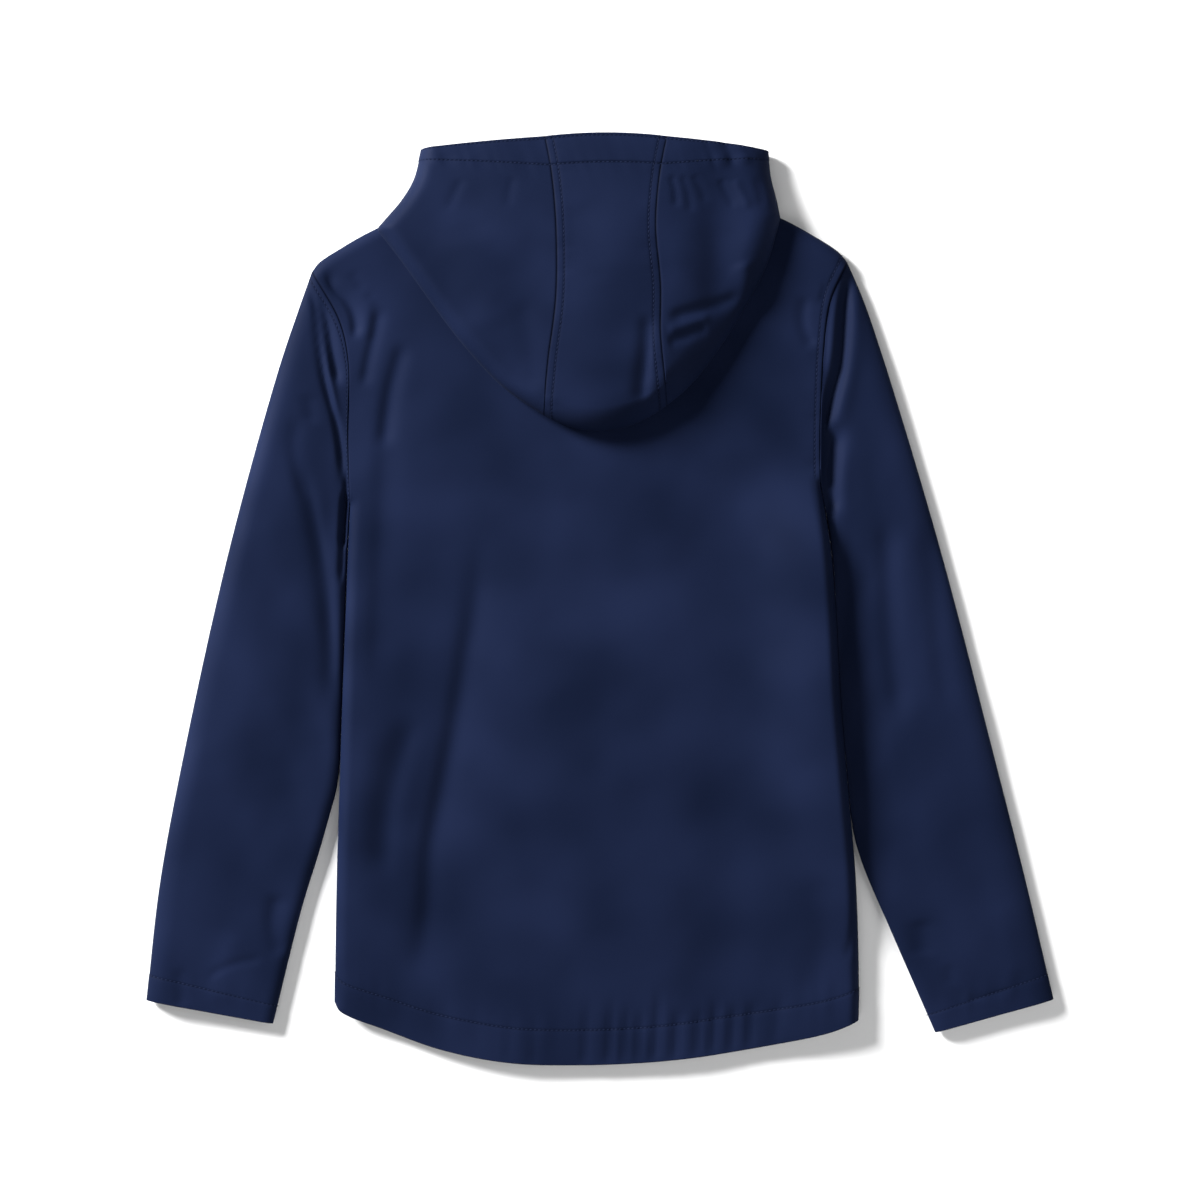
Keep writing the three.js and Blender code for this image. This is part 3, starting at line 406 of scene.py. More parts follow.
def beside(line, plan):
    """Signed distance of points from a line of points, and the share of the line that is passed.
    East is positive of a line that runs down."""
    steps = np.diff(line, axis=0)
    lengths = np.linalg.norm(steps, axis=1)
    run = np.concatenate([[0], np.cumsum(lengths)])
    nearest = np.full(len(plan), np.inf)
    side, share = np.ones(len(plan)), np.zeros(len(plan))
    for k, (step, length) in enumerate(zip(steps, lengths)):
        away = plan - line[k]
        t = np.clip(away @ step / length**2, 0, 1)
        off = away - t[:, None] * step
        distance = np.hypot(off[:, 0], off[:, 1])
        hit = distance < nearest
        nearest[hit] = distance[hit]
        side[hit] = np.where(step[0] * off[hit, 1] - step[1] * off[hit, 0] < 0, -1, 1)
        share[hit] = (run[k] + t[hit] * length) / run[-1]
    return nearest * side, share


def distance_to(curves, plan):
    """Distance in plan to the nearest of several curves."""
    flat = plan.reshape(-1, 2)
    found = [np.abs(beside(curve.points[::4], flat)[0]) for curve in curves]
    return np.min(found, axis=0).reshape(plan.shape[:-1])


def folds_at(folds, plan):
    """Height that a table of folds adds at points in plan."""
    total = np.zeros(plan.shape[:-1])
    for fold in folds:
        line = Curve(fold.path).points[::8]
        reach = 3 * FOLD_SPREAD * max(fold.west, fold.east)
        close = ((plan > line.min(0) - reach) & (plan < line.max(0) + reach)).all(-1)
        if close.any():
            away, share = beside(line, plan[close])
            half = FOLD_SPREAD * np.where(away < 0, fold.west, fold.east)
            fade = ease(FOLD_FADE * np.minimum(share, 1 - share))
            total[close] += fold.rise * fade * bell(away, half)
    return total


def unevenness(plan, size, seed):
    """Smooth random heights from -1 to 1, in lumps of about that size."""
    count = 128
    heights = np.random.default_rng(seed).uniform(-1, 1, (count, count))
    turned = plan @ np.array([[0.83, 0.56], [-0.56, 0.83]])
    place = turned / size + count / 2
    cell = np.floor(place).astype(int)
    t = place - cell
    t = t**3 * (t * (6 * t - 15) + 10)
    x, y = cell[..., 0], cell[..., 1]
    corner = [heights[(x + i) % count, (y + j) % count] for i in (0, 1) for j in (0, 1)]
    low, high = mix(corner[0], corner[1], t[..., 1]), mix(corner[2], corner[3], t[..., 1])
    return mix(low, high, t[..., 0])


def ripples(run, spacing, seed):
    """Small random heights along a seam, from -1 to 1."""
    along = np.stack([run, np.zeros_like(run)], -1)
    return unevenness(along, spacing, seed) + 0.5 * unevenness(along, spacing / 2.3, seed + 1)


def uneven_at(lumps, plan):
    """Height that a table of lumps adds at points in plan."""
    return sum(rise * unevenness(plan, size, seed) for rise, size, seed in lumps)


def pull_at(pull, run, from_stitches):
    """Height that a row of stitches adds beside it."""
    return pull.rise * ripples(run, pull.spacing, pull.seed) * bell(from_stitches, pull.reach)


def spaced(near, far, length, step):
    """Distances across a width: those given from each side, and even ones between."""
    near, far = np.array(near, float), length - np.array(far[::-1], float)
    count = max(2, int(np.ceil((far[0] - near[-1]) / step)))
    return np.concatenate([near, np.linspace(near[-1], far[0], count + 1)[1:-1], far])


def fitted(stations, nominal, near_count, far_count, widths):
    """The same stations across each width: those beside the edges keep their distance from them."""
    stations = np.array(stations)
    widths = np.atleast_1d(widths)[:, None]
    near, far = stations[near_count - 1], nominal - stations[-far_count]
    share = (stations - near) / (nominal - near - far)
    made = near + share * (widths - near - far)
    made[:, :near_count] = stations[:near_count]
    made[:, -far_count:] = widths - (nominal - stations[-far_count:])
    return made / widths


def outward_of(skin, tube, turned):
    """Unit directions away from the cloth at each point of a grid."""
    beyond = np.roll(skin, -1, axis=1) if tube else skin[:, 1:]
    here = skin if tube else skin[:, :-1]
    face = np.cross(beyond[1:] - here[:-1], here[1:] - beyond[:-1]) * (-1 if turned else 1)
    total = np.zeros_like(skin)
    spans = face.shape[1]
    for rows in (slice(0, -1), slice(1, None)):
        total[rows, :spans] += face
        if tube:
            total[rows] += np.roll(face, 1, axis=1)
        else:
            total[rows, 1:] += face
    return total


def unit(vectors):
    return vectors / np.maximum(np.linalg.norm(vectors, axis=-1, keepdims=True), 1e-9)


Cut = namedtuple("Cut", "object skin outward")
RIM_ANGLES = np.radians([40, 90, 140])
RIM_BULGE = 0.55


def edge_loops(rows, columns, tube):
    """The places in a grid along its open edges, in order round the cloth."""
    if tube:
        around = np.arange(columns)
        return [around, (rows - 1) * columns + around[::-1]]
    bottom = np.arange(columns)
    right = np.arange(1, rows) * columns + columns - 1
    top = (rows - 1) * columns + np.arange(columns - 2, -1, -1)
    left = np.arange(rows - 2, 0, -1) * columns
    return [np.concatenate([bottom, right, top, left])]


def away_from_cloth(skin, tube):
    """Directions that lead off the cloth at the points of its open edges."""
    away = np.zeros_like(skin)
    away[0] += unit(skin[0] - skin[1])
    away[-1] += unit(skin[-1] - skin[-2])
    if not tube:
        away[:, 0] += unit(skin[:, 0] - skin[:, 1])
        away[:, -1] += unit(skin[:, -1] - skin[:, -2])
    return away


def make_cloth(name, skin, tube=False, turned=False, thick=CLOTH, rise=0, level=None, seam=None):
    """One piece of cloth as a thin closed shell: its outer side, its inner side and rounded edges."""
    rows, columns = skin.shape[:2]
    outward = outward_of(skin, tube, turned)
    if level is not None:
        outward[level, 2] = 0
    outward = unit(outward)
    thick = np.broadcast_to(thick, (rows, columns))[..., None]
    rise = np.broadcast_to(rise, (rows, columns))[..., None]
    outer, inner = skin + outward * rise, skin - outward * (thick - rise)
    count = rows * columns
    i, j = np.meshgrid(np.arange(rows - 1), np.arange(columns if tube else columns - 1), indexing="ij")
    place = lambda row, column: (row * columns + column % columns).ravel()
    quads = np.stack([place(i, j), place(i, j + 1), place(i + 1, j + 1), place(i + 1, j)], -1)
    faces = [quads, quads[:, ::-1] + count]
    points = [outer.reshape(-1, 3), inner.reshape(-1, 3)]
    sources = [np.arange(count), np.arange(count)]
    away = away_from_cloth(outer, tube).reshape(-1, 3)
    normal = outward.reshape(-1, 3)
    middle, half = (points[0] + points[1]) / 2, np.linalg.norm(points[0] - points[1], axis=1)[:, None] / 2
    total = 2 * count
    for loop in edge_loops(rows, columns, tube):
        off = away[loop] - (away[loop] * normal[loop]).sum(1, keepdims=True) * normal[loop]
        off = unit(off)
        levels = [loop]
        for angle in RIM_ANGLES:
            bow = normal[loop] * np.cos(angle) + off * np.sin(angle) * RIM_BULGE
            points.append(middle[loop] + half[loop] * bow)
            sources.append(loop)
            levels.append(total + np.arange(len(loop)))
            total += len(loop)
        levels.append(loop + count)
        for high, low in zip(levels, levels[1:]):
            faces.append(np.stack([np.roll(high, -1), high, low, np.roll(low, -1)], -1))
    faces = np.vstack(faces)
    if turned:
        faces = faces[:, ::-1]
    sources = np.concatenate(sources)
    mesh = bpy.data.meshes.new(name)
    mesh.from_pydata((np.vstack(points) * MM).tolist(), [], faces.tolist())
    mesh.polygons.foreach_set("use_smooth", np.ones(len(faces), bool))
    cut = lay_flat(skin, tube)
    loops = np.zeros(len(mesh.loops), np.int32)
    mesh.loops.foreach_get("vertex_index", loops)
    column = sources[loops] % columns
    width = cut[:, :, 0].reshape(-1)
    across = width[sources[loops]]
    if tube:
        corner = column.reshape(-1, 4)
        crosses = (corner.max(1) - corner.min(1)) > columns / 2
        around = cut[:, 0, 2][sources[loops] // columns].reshape(-1, 4)
        across = across.reshape(-1, 4)
        across[crosses] += np.where(corner[crosses] < columns / 2, around[crosses], 0)
        across = across.ravel()
    uv = np.stack([across, cut[:, :, 1].reshape(-1)[sources[loops]]], -1) * MM
    mesh.uv_layers.new(name="cut").data.foreach_set("uv", uv.astype(np.float32).ravel())
    # Painted shade along seams and stitch rows, kept in the 'seam' attribute that darkens the cloth's colour
    painted_shade = np.zeros((rows, columns)) if seam is None else np.broadcast_to(seam, (rows, columns))
    layer = mesh.attributes.new("seam", "FLOAT", "POINT")
    layer.data.foreach_set("value", painted_shade.reshape(-1)[sources].astype(np.float32))
    mesh.update()
    piece = bpy.data.objects.new(name, mesh)
    bpy.context.scene.collection.objects.link(piece)
    return Cut(piece, outer, outward)


def lay_flat(skin, tube):
    """Place of each point on its cut: across, along, and the width all round."""
    rows, columns = skin.shape[:2]
    across = np.zeros((rows, columns))
    across[:, 1:] = np.cumsum(np.linalg.norm(np.diff(skin, axis=1), axis=2), axis=1)
    around = across[:, -1] + (np.linalg.norm(skin[:, 0] - skin[:, -1], axis=1) if tube else 0)
    middle = columns // 4 if tube else columns // 2
    along = np.concatenate([[0], np.cumsum(np.linalg.norm(np.diff(skin[:, middle], axis=0), axis=1))])
    shape = (rows, columns)
    along, around = (np.broadcast_to(values[:, None], shape) for values in (along, around))
    return np.stack([across, along, around], -1)


side_left, side_right = Curve(SIDE_LEFT), Curve(SIDE_RIGHT)
armhole_left, armhole_right = Curve(ARMHOLE_LEFT), Curve(ARMHOLE_RIGHT)
shoulder_left, shoulder_right = Curve(SHOULDER_LEFT), Curve(SHOULDER_RIGHT)
neck_back, neck_front, hem = Curve(NECK_BACK), Curve(NECK_FRONT), Curve(HEM)
BODY_EDGES = [side_left, side_right, shoulder_left, shoulder_right]


def body_rows(side_step, armhole_step):
    """Shares of the body's length from the hem to the shoulder, with the place of the hem's stitches."""
    low = spaced(HEM_EDGE, [0], side_left.length, side_step) / side_left.length * UNDERARM
    high = spaced([0], EDGE, armhole_left.length, armhole_step) / armhole_left.length
    rows = np.concatenate([low, mix(UNDERARM, 1, high[1:])])
    return rows, HEM_EDGE.index(HEM_WIDTH)


def stitch_marks(distance, width):
    """How near points are to a row of stitches at that distance, for its groove and the painted shade in it."""
    return bell(distance - width, STITCH_HALF)


def swell_at(plan):
    """Height that the back has more beside a side seam."""
    total = 0
    for seam, (rise, at, half) in zip((side_left, side_right), SIDE_SWELLS.values()):
        total = total + rise * bell(distance_to([seam], plan) - at, half)
    y = plan[..., 1]
    sinking = mix(1, SWELL_AT_HEM, ease((SWELL_LOW - y) / SWELL_FADE))
    return total * sinking * ease((SWELL_TOP - y) / SWELL_FADE)


def puckers_at(x, from_hem):
    """Depth of the hem's puckers."""
    total = np.zeros(x.shape)
    for pucker in HEM_PUCKERS:
        away = (x - pucker.x - PUCKER_LEAN * from_hem) / PUCKER_HALF
        fade = ease((HEM_WIDTH + pucker.reach - from_hem) / pucker.reach) * ease(0.3 + from_hem / 8)
        total += pucker.depth * fade * bell(away, 1)
    return total


def back_panel():
    """Back: hem, both sides, armholes, shoulders and back neck."""
    side_steps = EDGE + [11.2, 12.9, 14.7, 16.6, 18.6, 20.7, 22.9, 25.2, 27.6, 30.1, 32.6, 35.2, 38]
    rows, stitch_row = body_rows(3.2, 2)
    near = joined(side_left, armhole_left, UNDERARM)
    far = joined(side_right, armhole_right, UNDERARM)
    widths = np.linalg.norm(near(rows) - far(rows), axis=1)
    nominal = widths.mean()
    stations = spaced(side_steps, side_steps, nominal, 3.2)
    across = fitted(stations, nominal, len(side_steps), len(side_steps), widths)
    along = np.broadcast_to(rows[:, None], across.shape)
    whole = 1 - LEFT_NECK_SHARE
    neck_and_right = joined(neck_back, shoulder_right, (RIGHT_NECK_SHARE - LEFT_NECK_SHARE) / whole)
    top = joined(shoulder_left, neck_and_right, LEFT_NECK_SHARE)
    plan = patch(hem, top, near, far)(across, along)
    height = LOFT + swell_at(plan) + folds_at(BACK_FOLDS, plan)
    height += uneven_at(BACK_UNEVEN, plan)
    seam_height = SIDE_SEAM_HEIGHT + SIDE_SEAM_GAP / 2
    height = mix(seam_height, height, rounded(distance_to(BODY_EDGES, plan), ROLL))
    left, right = across * widths[:, None], (1 - across) * widths[:, None]
    from_hem = np.broadcast_to((rows / UNDERARM * side_left.length)[:, None], across.shape)
    on_armhole = ease((rows - UNDERARM) / 0.01)[:, None]
    right_stitch = stitch_marks(right, TOPSTITCH) * on_armhole
    hem_stitch = stitch_marks(from_hem, HEM_WIDTH)
    for from_seam in (left, right):
        height += ditch(from_seam, SEAM_DEPTH, SEAM_HALF) * on_armhole
    height -= STITCH_DEPTH * (right_stitch + hem_stitch)
    pull = pull_at(HEM_PULL, plan[..., 0], from_hem - HEM_WIDTH) - puckers_at(plan[..., 0], from_hem)
    pull += pull_at(ARMHOLE_PULL, plan[..., 1], right - TOPSTITCH) * on_armhole
    height += pull * rounded(distance_to([side_left, side_right], plan), ROLL)
    skin = np.concatenate([plan, height[..., None]], -1)
    beside_body = rows <= UNDERARM + 1e-6
    level = np.zeros(across.shape, bool)
    level[beside_body, 0] = level[beside_body, -1] = True
    on_shoulder = (across[-1] <= LEFT_NECK_SHARE) | (across[-1] >= RIGHT_NECK_SHARE)
    level[-1, on_shoulder] = True
    in_hem = ease((HEM_WIDTH + HEM_STEP / 2 - from_hem) / HEM_STEP)
    # Painted shade in the stitch rows and in the grooves of the armhole seams
    seam = STITCH_PAINTED_SHADE * np.maximum(right_stitch, hem_stitch)
    seam = np.maximum(seam, bell(np.minimum(left, right), SEAM_HALF) * on_armhole)
    thick = mix(CLOTH, HEM_CLOTH, in_hem)
    piece = make_cloth("back_cloth", skin, thick=thick, rise=HEM_RISE * in_hem, level=level, seam=seam)
    stitch_column = len(stations) - 1 - EDGE.index(TOPSTITCH)
    armhole_from = int(np.searchsorted(rows, UNDERARM + 0.004))
    lines = [
        line_of(piece, row=stitch_row),
        line_of(piece, column=stitch_column, start=armhole_from),
    ]
    return piece, lines


def line_of(piece, row=None, column=None, start=0, stop=None):
    """A row or a column of a piece's points, with the directions away from the cloth."""
    where = (row, slice(start, stop)) if row is not None else (slice(start, stop), column)
    return piece.skin[where], piece.outward[where]


def centre_at(y):
    return mix(HEM_CENTRE[0], CHIN[0], np.clip((y - HEM_CENTRE[1]) / (CHIN[1] - HEM_CENTRE[1]), 0, 1))


def front_panel(side):
    """A front, under the back. The left placket is the outer one and the right one lies on it."""
    is_left = side < 0
    reach = -side * PLACKET_HALF
    front_hem = lambda share: hem(share) + np.array([0, FRONT_HEM_SHORTER])
    centre = share_at_x(hem, HEM_CENTRE[0] + reach)
    corner = neck_front(np.array(0.0 if is_left else 1.0))[0]
    edge_x = CHIN[0] + reach
    start = (lambda u: front_hem(u * centre)) if is_left else (lambda u: front_hem(mix(1, centre, u)))
    neck = lambda u: neck_front(share_at_x(neck_front, mix(corner, edge_x, u)))
    shoulder = shoulder_left if is_left else (lambda u: shoulder_right(1 - u))
    near = joined(*((side_left, armhole_left) if is_left else (side_right, armhole_right)), UNDERARM)
    edge = straight(start(np.array(1.0)), neck(np.array(1.0)))
    rows, stitch_row = body_rows(5, 5)
    widths = np.linalg.norm(near(rows) - edge(rows), axis=1)
    nominal = widths.mean()
    placket = [0, 0.3, 0.8, 1.4, 2, 2.6, 3.6, 10, 20, 30, 36.6, 37.4, 38, 38.6, 39.6, 42, 45, 48, 51, 55]
    rolled = [0, 0.3, 0.7, 1.2, 2, 3, 4.5, 6.5, 9]
    stations = spaced(rolled, placket, nominal, 5)
    across = fitted(stations, nominal, len(rolled), len(placket), widths)
    along = np.broadcast_to(rows[:, None], across.shape)
    plan = patch(start, joined(shoulder, neck, SHOULDER_SHARE), near, edge)(across, along)
    from_edge = np.abs(edge(along)[..., 0] - plan[..., 0])
    flap_end = 2 * PLACKET_HALF + (0 if is_left else PLACKET_CLEARANCE)
    flap = PLACKET_OUTER_HEIGHT if is_left else PLACKET_INNER_HEIGHT
    in_flap = ease((flap_end + PLACKET_SLOPE - from_edge) / PLACKET_SLOPE)
    roll = rounded(distance_to(BODY_EDGES, plan), ROLL)
    height = mix(SIDE_SEAM_HEIGHT - SIDE_SEAM_GAP / 2, 0, roll) + flap * in_flap
    height += folds_at(FRONT_FOLDS, plan) * (1 - in_flap) * roll
    from_hem = np.broadcast_to((rows / UNDERARM * side_left.length)[:, None], across.shape)
    inward = (1 - across) * widths[:, None]
    stitch = stitch_marks(from_hem, HEM_WIDTH) + stitch_marks(inward, 2) + stitch_marks(inward, 38)
    height = np.maximum(height + 0.3 * np.minimum(stitch, 1), 0)
    skin = np.concatenate([plan, height[..., None]], -1)
    level = np.zeros(across.shape, bool)
    level[rows <= UNDERARM + 1e-6, 0] = True
    level[-1, across[-1] <= SHOULDER_SHARE] = True
    name = "front_left_cloth" if is_left else "front_right_cloth"
    # The stitch rows get painted shade
    piece = make_cloth(name, skin, turned=is_left, level=level, seam=STITCH_PAINTED_SHADE * np.minimum(stitch, 1))
    lines = [line_of(piece, row=stitch_row)]
    last = len(stations) - 1
    for distance in (2, 38):
        lines.append(line_of(piece, column=last - placket.index(distance), start=1, stop=-1))
    return piece, lines


def beside_seam(sleeve):
    """Points of a sleeve's inner edge where it lies along the body's side seam."""
    seam = Curve(sleeve.seam)
    high, low = sleeve.close
    y = np.linspace(high, low, round((high - low) / SLEEVE_POINT_STEP) + 1)
    x = np.interp(y, seam.points[:, 1], seam.points[:, 0])
    return [(a + sleeve.side * SLEEVE_GAP, b) for a, b in zip(x.tolist(), y.tolist())]


def sleeve_piece(key):
    """Sleeve: a flattened tube from the armhole to the cuff."""
    sleeve = SLEEVES[key]
    armhole = Curve(sleeve.armhole)

    def shifted(share):
        step = armhole(np.minimum(1, share + 0.01)) - armhole(np.maximum(0, share - 0.01))
        step = unit(step)
        off = np.stack([step[..., 1], -step[..., 0]], -1) * sleeve.side * SEAM_GAP
        return armhole(share) + off

    outer = Curve([tuple(shifted(np.array(1.0))), *sleeve.outer])
    inner = Curve([tuple(shifted(np.array(0.0))), *beside_seam(sleeve), *sleeve.inner])
    length = outer.length
    head = EDGE + list(np.arange(11.4, 170, 2))
    distances = spaced(head, CUFF_EDGE, length, 3.4)
    rows = distances / length
    surface = patch(shifted, straight(inner(np.array(1.0)), outer(np.array(1.0))), inner, outer)
    widths = np.linalg.norm(inner(rows) - outer(rows), axis=1)
    widths[0] = armhole.length
    upper_nominal = 95
    upper = spaced(FOLD_EDGE, FOLD_EDGE, upper_nominal, 2.2)
    lower = spaced(FOLD_EDGE[:7], FOLD_EDGE[:7], upper_nominal, 4)
    over = fitted(upper, upper_nominal, len(FOLD_EDGE), len(FOLD_EDGE), widths)
    under = fitted(lower, upper_nominal, 7, 7, widths)[:, 1:-1][:, ::-1]
    layers = []
    for shares, on_top in ((over, True), (under, False)):
        along = np.broadcast_to(rows[:, None], shares.shape)
        plan = surface(shares, along)
        from_inner, from_outer = distance_to([inner], plan), distance_to([outer], plan)
        from_edge = np.minimum(from_inner / ROLL, from_outer / SLEEVE_OUTER_ROLL)
        roll = rounded(from_edge, 1)
        from_armhole = along * length
        from_cuff = (1 - along) * length
        cuff = stitch_marks(from_cuff, CUFF_WIDTH)
        height = np.zeros(shares.shape)
        # Painted shade in the cuff's stitch row, in the armhole seam and along its topstitching
        painted_shade = STITCH_PAINTED_SHADE * cuff
        if on_top:
            beside_body = smooth_value(sleeve.along, sleeve.beside, along)
            outside = smooth_value(sleeve.along, sleeve.outside, along)
            height = mix(beside_body, outside, ease(shares))
            height += folds_at(SLEEVE_FOLDS[key], plan) * ease(along * 40)
            height += uneven_at(SLEEVE_UNEVEN, plan)
            height = np.maximum(height, SLEEVE_LOWEST)
        height = mix(SIDE_SEAM_HEIGHT, height, roll)
        if on_top:
            ends = roll**2
            height += ditch(from_armhole, SEAM_DEPTH, SEAM_HALF) * ends
            painted_shade = np.maximum(painted_shade, bell(from_armhole, SEAM_HALF))
            if key == "left":
                stitch = stitch_marks(from_armhole, TOPSTITCH)
                height -= STITCH_DEPTH * stitch * ends
                painted_shade = np.maximum(painted_shade, STITCH_PAINTED_SHADE * stitch)
            height -= STITCH_DEPTH * cuff
            height += pull_at(CUFF_PULL, plan[..., 0], from_cuff - CUFF_WIDTH) * roll
        else:
            height += 0.25 * cuff
        layers.append((np.concatenate([plan, height[..., None]], -1), painted_shade))
    skin = np.concatenate([layers[0][0], layers[1][0]], 1)
    seam = np.concatenate([layers[0][1], layers[1][1]], 1)
    in_cuff = ease((CUFF_WIDTH + HEM_STEP / 2 - (1 - rows) * length) / HEM_STEP)[:, None]
    on_top = np.zeros(skin.shape[1])
    on_top[1:over.shape[1] - 1] = 1
    piece = make_cloth(
        f"sleeve_{key}_cloth", skin, tube=True, turned=sleeve.side > 0,
        thick=mix(CLOTH, HEM_CLOTH, in_cuff), rise=HEM_RISE * in_cuff * on_top, seam=seam)
    cuff_row = len(rows) - 1 - CUFF_EDGE.index(CUFF_WIDTH)
    around = np.arange(skin.shape[1] + 1) % skin.shape[1]
    lines = [(piece.skin[cuff_row, around], piece.outward[cuff_row, around])]
    if key == "left":
        lines.append(line_of(piece, row=EDGE.index(TOPSTITCH), start=4, stop=over.shape[1] - 4))
    return piece, lines


def hood_stations():
    """Rows of the hood from the brim to its lower fold, as shares, close together at its stitches."""
    casing = HOOD_CASING * HOOD_LENGTH
    edge = [0, 0.3, 0.7, 1.2, 1.6, 2, 2.4, 2.8, 3.6]
    edge += [5.4, 7.8, 10.4, 13, 15.6, 18.2, 20.4, 21.6, 22.2, 22.6]
    lower = [casing, casing + 0.4, casing + 0.8, casing + 1.4, casing + 2.6]
    even = np.arange(casing + 4.6, HOOD_LENGTH, 2)
    rows = np.concatenate([edge, lower, even, [HOOD_LENGTH]])
    return rows / HOOD_LENGTH, edge.index(EDGE_STITCH), len(edge)


HOOD_ROWS, BRIM_ROW, CASING_ROW = hood_stations()


def hood_height(plan, from_fold, share, drop):
    """Height of the hood's upper layer."""
    fold = smooth_value(HOOD_Y, HOOD_FOLD, plan[..., 1])
    top = smooth_value(HOOD_Y, HOOD_TOP, plan[..., 1]) - drop * ease(share)
    x, y, depth, across, along = HOOD_HOLLOW
    top = top - depth * bell(plan[..., 0] - x, across) * bell(plan[..., 1] - y, along)
    top = top + folds_at(HOOD_FOLDS, plan) + uneven_at(HOOD_SIDE_UNEVEN, plan)
    rightward = ease(plan[..., 0] / HOOD_RIGHT_FULL)
    fold = fold - HOOD_RIGHT_LOWER * rightward
    return mix(fold, top, rounded(from_fold, HOOD_TOP_ROLL + HOOD_RIGHT_ROLL * rightward))


def beside_front_neck(x):
    """Point beside the front neck edge, on the side of the hood."""
    share = share_at_x(neck_front, x)
    step = unit(neck_front(share + 0.01) - neck_front(share - 0.01))
    return neck_front(share) + np.stack([-step[..., 1], step[..., 0]], -1)


def gather(plan, rows_mm):
    """Small gathers on both sides of the casing's stitches, stronger on the right."""
    casing = HOOD_CASING * HOOD_LENGTH
    x, y = plan[..., 0], plan[..., 1]
    strength = 0.3 + 1.15 * ease((x - 50) / 45) + 0.45 * ease((-50 - x) / 60)
    near = bell(rows_mm - casing, CASING_REACH) + 0.6 * bell(rows_mm - EDGE_STITCH, BRIM_REACH)
    return strength * near * ripples(x + 0.35 * y, GATHER_SPACING, GATHER_SEED)


def hood_side_skin(key):
    """A side of the hood, as a grid from the crown seam over the fold to the neck."""
    hood = HOOD_SIDES[key]
    side_fold, lower_fold, seam, brim = (
        Curve(rows) for rows in (hood.side_fold, hood.lower_fold, hood.seam, hood.brim))
    at_rows = [row.at for row in hood.neck]
    column = lambda name, at: np.interp(at, at_rows, [getattr(row, name) for row in hood.neck])

    def fold(at):
        turning = side_fold(column("turn", at))
        return np.where((at <= HOOD_SHOULDER)[..., None], turning, lower_fold((at - HOOD_SHOULDER) / 0.6))

    def neck(at):
        chin = hood.neck[1].at
        beside_neck = beside_front_neck(mix(hood.neck[0].x, hood.neck[1].x, np.minimum(at / chin, 1)))
        given = np.stack([column("x", at), column("y", at)], -1)
        return np.where((at < chin)[..., None], beside_neck, given)

    rows = HOOD_ROWS
    upper_nominal = 92
    stations = spaced(HOOD_SEAM_EDGE, FOLD_EDGE, upper_nominal, 2.2)
    widths = np.linalg.norm(seam(rows) - fold(rows), axis=1)
    scale = np.minimum(widths / upper_nominal, 1)[:, None]
    close_edges = fitted(stations, upper_nominal, len(HOOD_SEAM_EDGE), len(FOLD_EDGE), widths)
    over = mix(stations / upper_nominal, close_edges, ease(scale * 1.6 - 0.3))
    along = np.broadcast_to(rows[:, None], over.shape)
    last = np.array(1.0)
    plan = patch(brim, straight(seam(last), fold(last)), seam, fold)(over, along)
    from_fold = distance_to([side_fold, lower_fold], plan)
    height = hood_height(plan, from_fold, over, HOOD_SIDE_DROP[key])
    row_mm = along * HOOD_LENGTH
    from_seam = over * widths[:, None]
    height += gather(plan, row_mm) * rounded(from_fold, 6)
    stitch = np.maximum(stitch_marks(row_mm, EDGE_STITCH), stitch_marks(row_mm, HOOD_CASING * HOOD_LENGTH))
    height -= STITCH_DEPTH * stitch
    top = np.concatenate([plan, height[..., None]], -1)
    # Painted shade in the stitch rows and beside the crown seam
    top_painted_shade = np.maximum(STITCH_PAINTED_SHADE * stitch, bell(from_seam, SEAM_HALF))

    tip = hood.neck[2]
    shares = np.concatenate([[0.004, 0.012, 0.03, 0.055, 0.085], np.linspace(0.12, 1, 26)])
    bottom = np.zeros((len(rows), len(shares), 2))
    for i, at in enumerate(rows):
        ends = [tuple(fold(np.array(at))), tuple(neck(np.array(at)))]
        if at < tip.at:
            ends.insert(1, tuple(straight(hood.lower_brim, (tip.x, tip.y))(at / tip.at)))
            bottom[i] = Curve(ends)(shares)
        else:
            bottom[i] = straight(*ends)(shares)
    rest = column("z", rows)[:, None]
    low_fold = smooth_value(HOOD_Y, HOOD_FOLD, bottom[..., 1])
    low_fold = low_fold - HOOD_RIGHT_LOWER * ease(bottom[..., 0] / HOOD_RIGHT_FULL)
    low = mix(low_fold, rest, rounded(distance_to([side_fold, lower_fold], bottom), HOOD_UNDER_ROLL))
    under = np.concatenate([bottom, low[..., None]], -1)
    # The stitch rows' painted shade carried round under the fold
    under_painted_shade = np.broadcast_to(STITCH_PAINTED_SHADE * stitch[:, :1], low.shape)
    down = np.zeros(bottom.shape[:2])
    sunk = np.concatenate([ditch(from_seam, SEAM_DEPTH, SEAM_HALF), down], 1)
    return np.concatenate([top, under], 1), sunk, np.concatenate([top_painted_shade, under_painted_shade], 1), over.shape[1]


def hood_casing(rows_mm):
    return ease((HOOD_CASING * HOOD_LENGTH + HEM_STEP / 2 - rows_mm) / HEM_STEP)


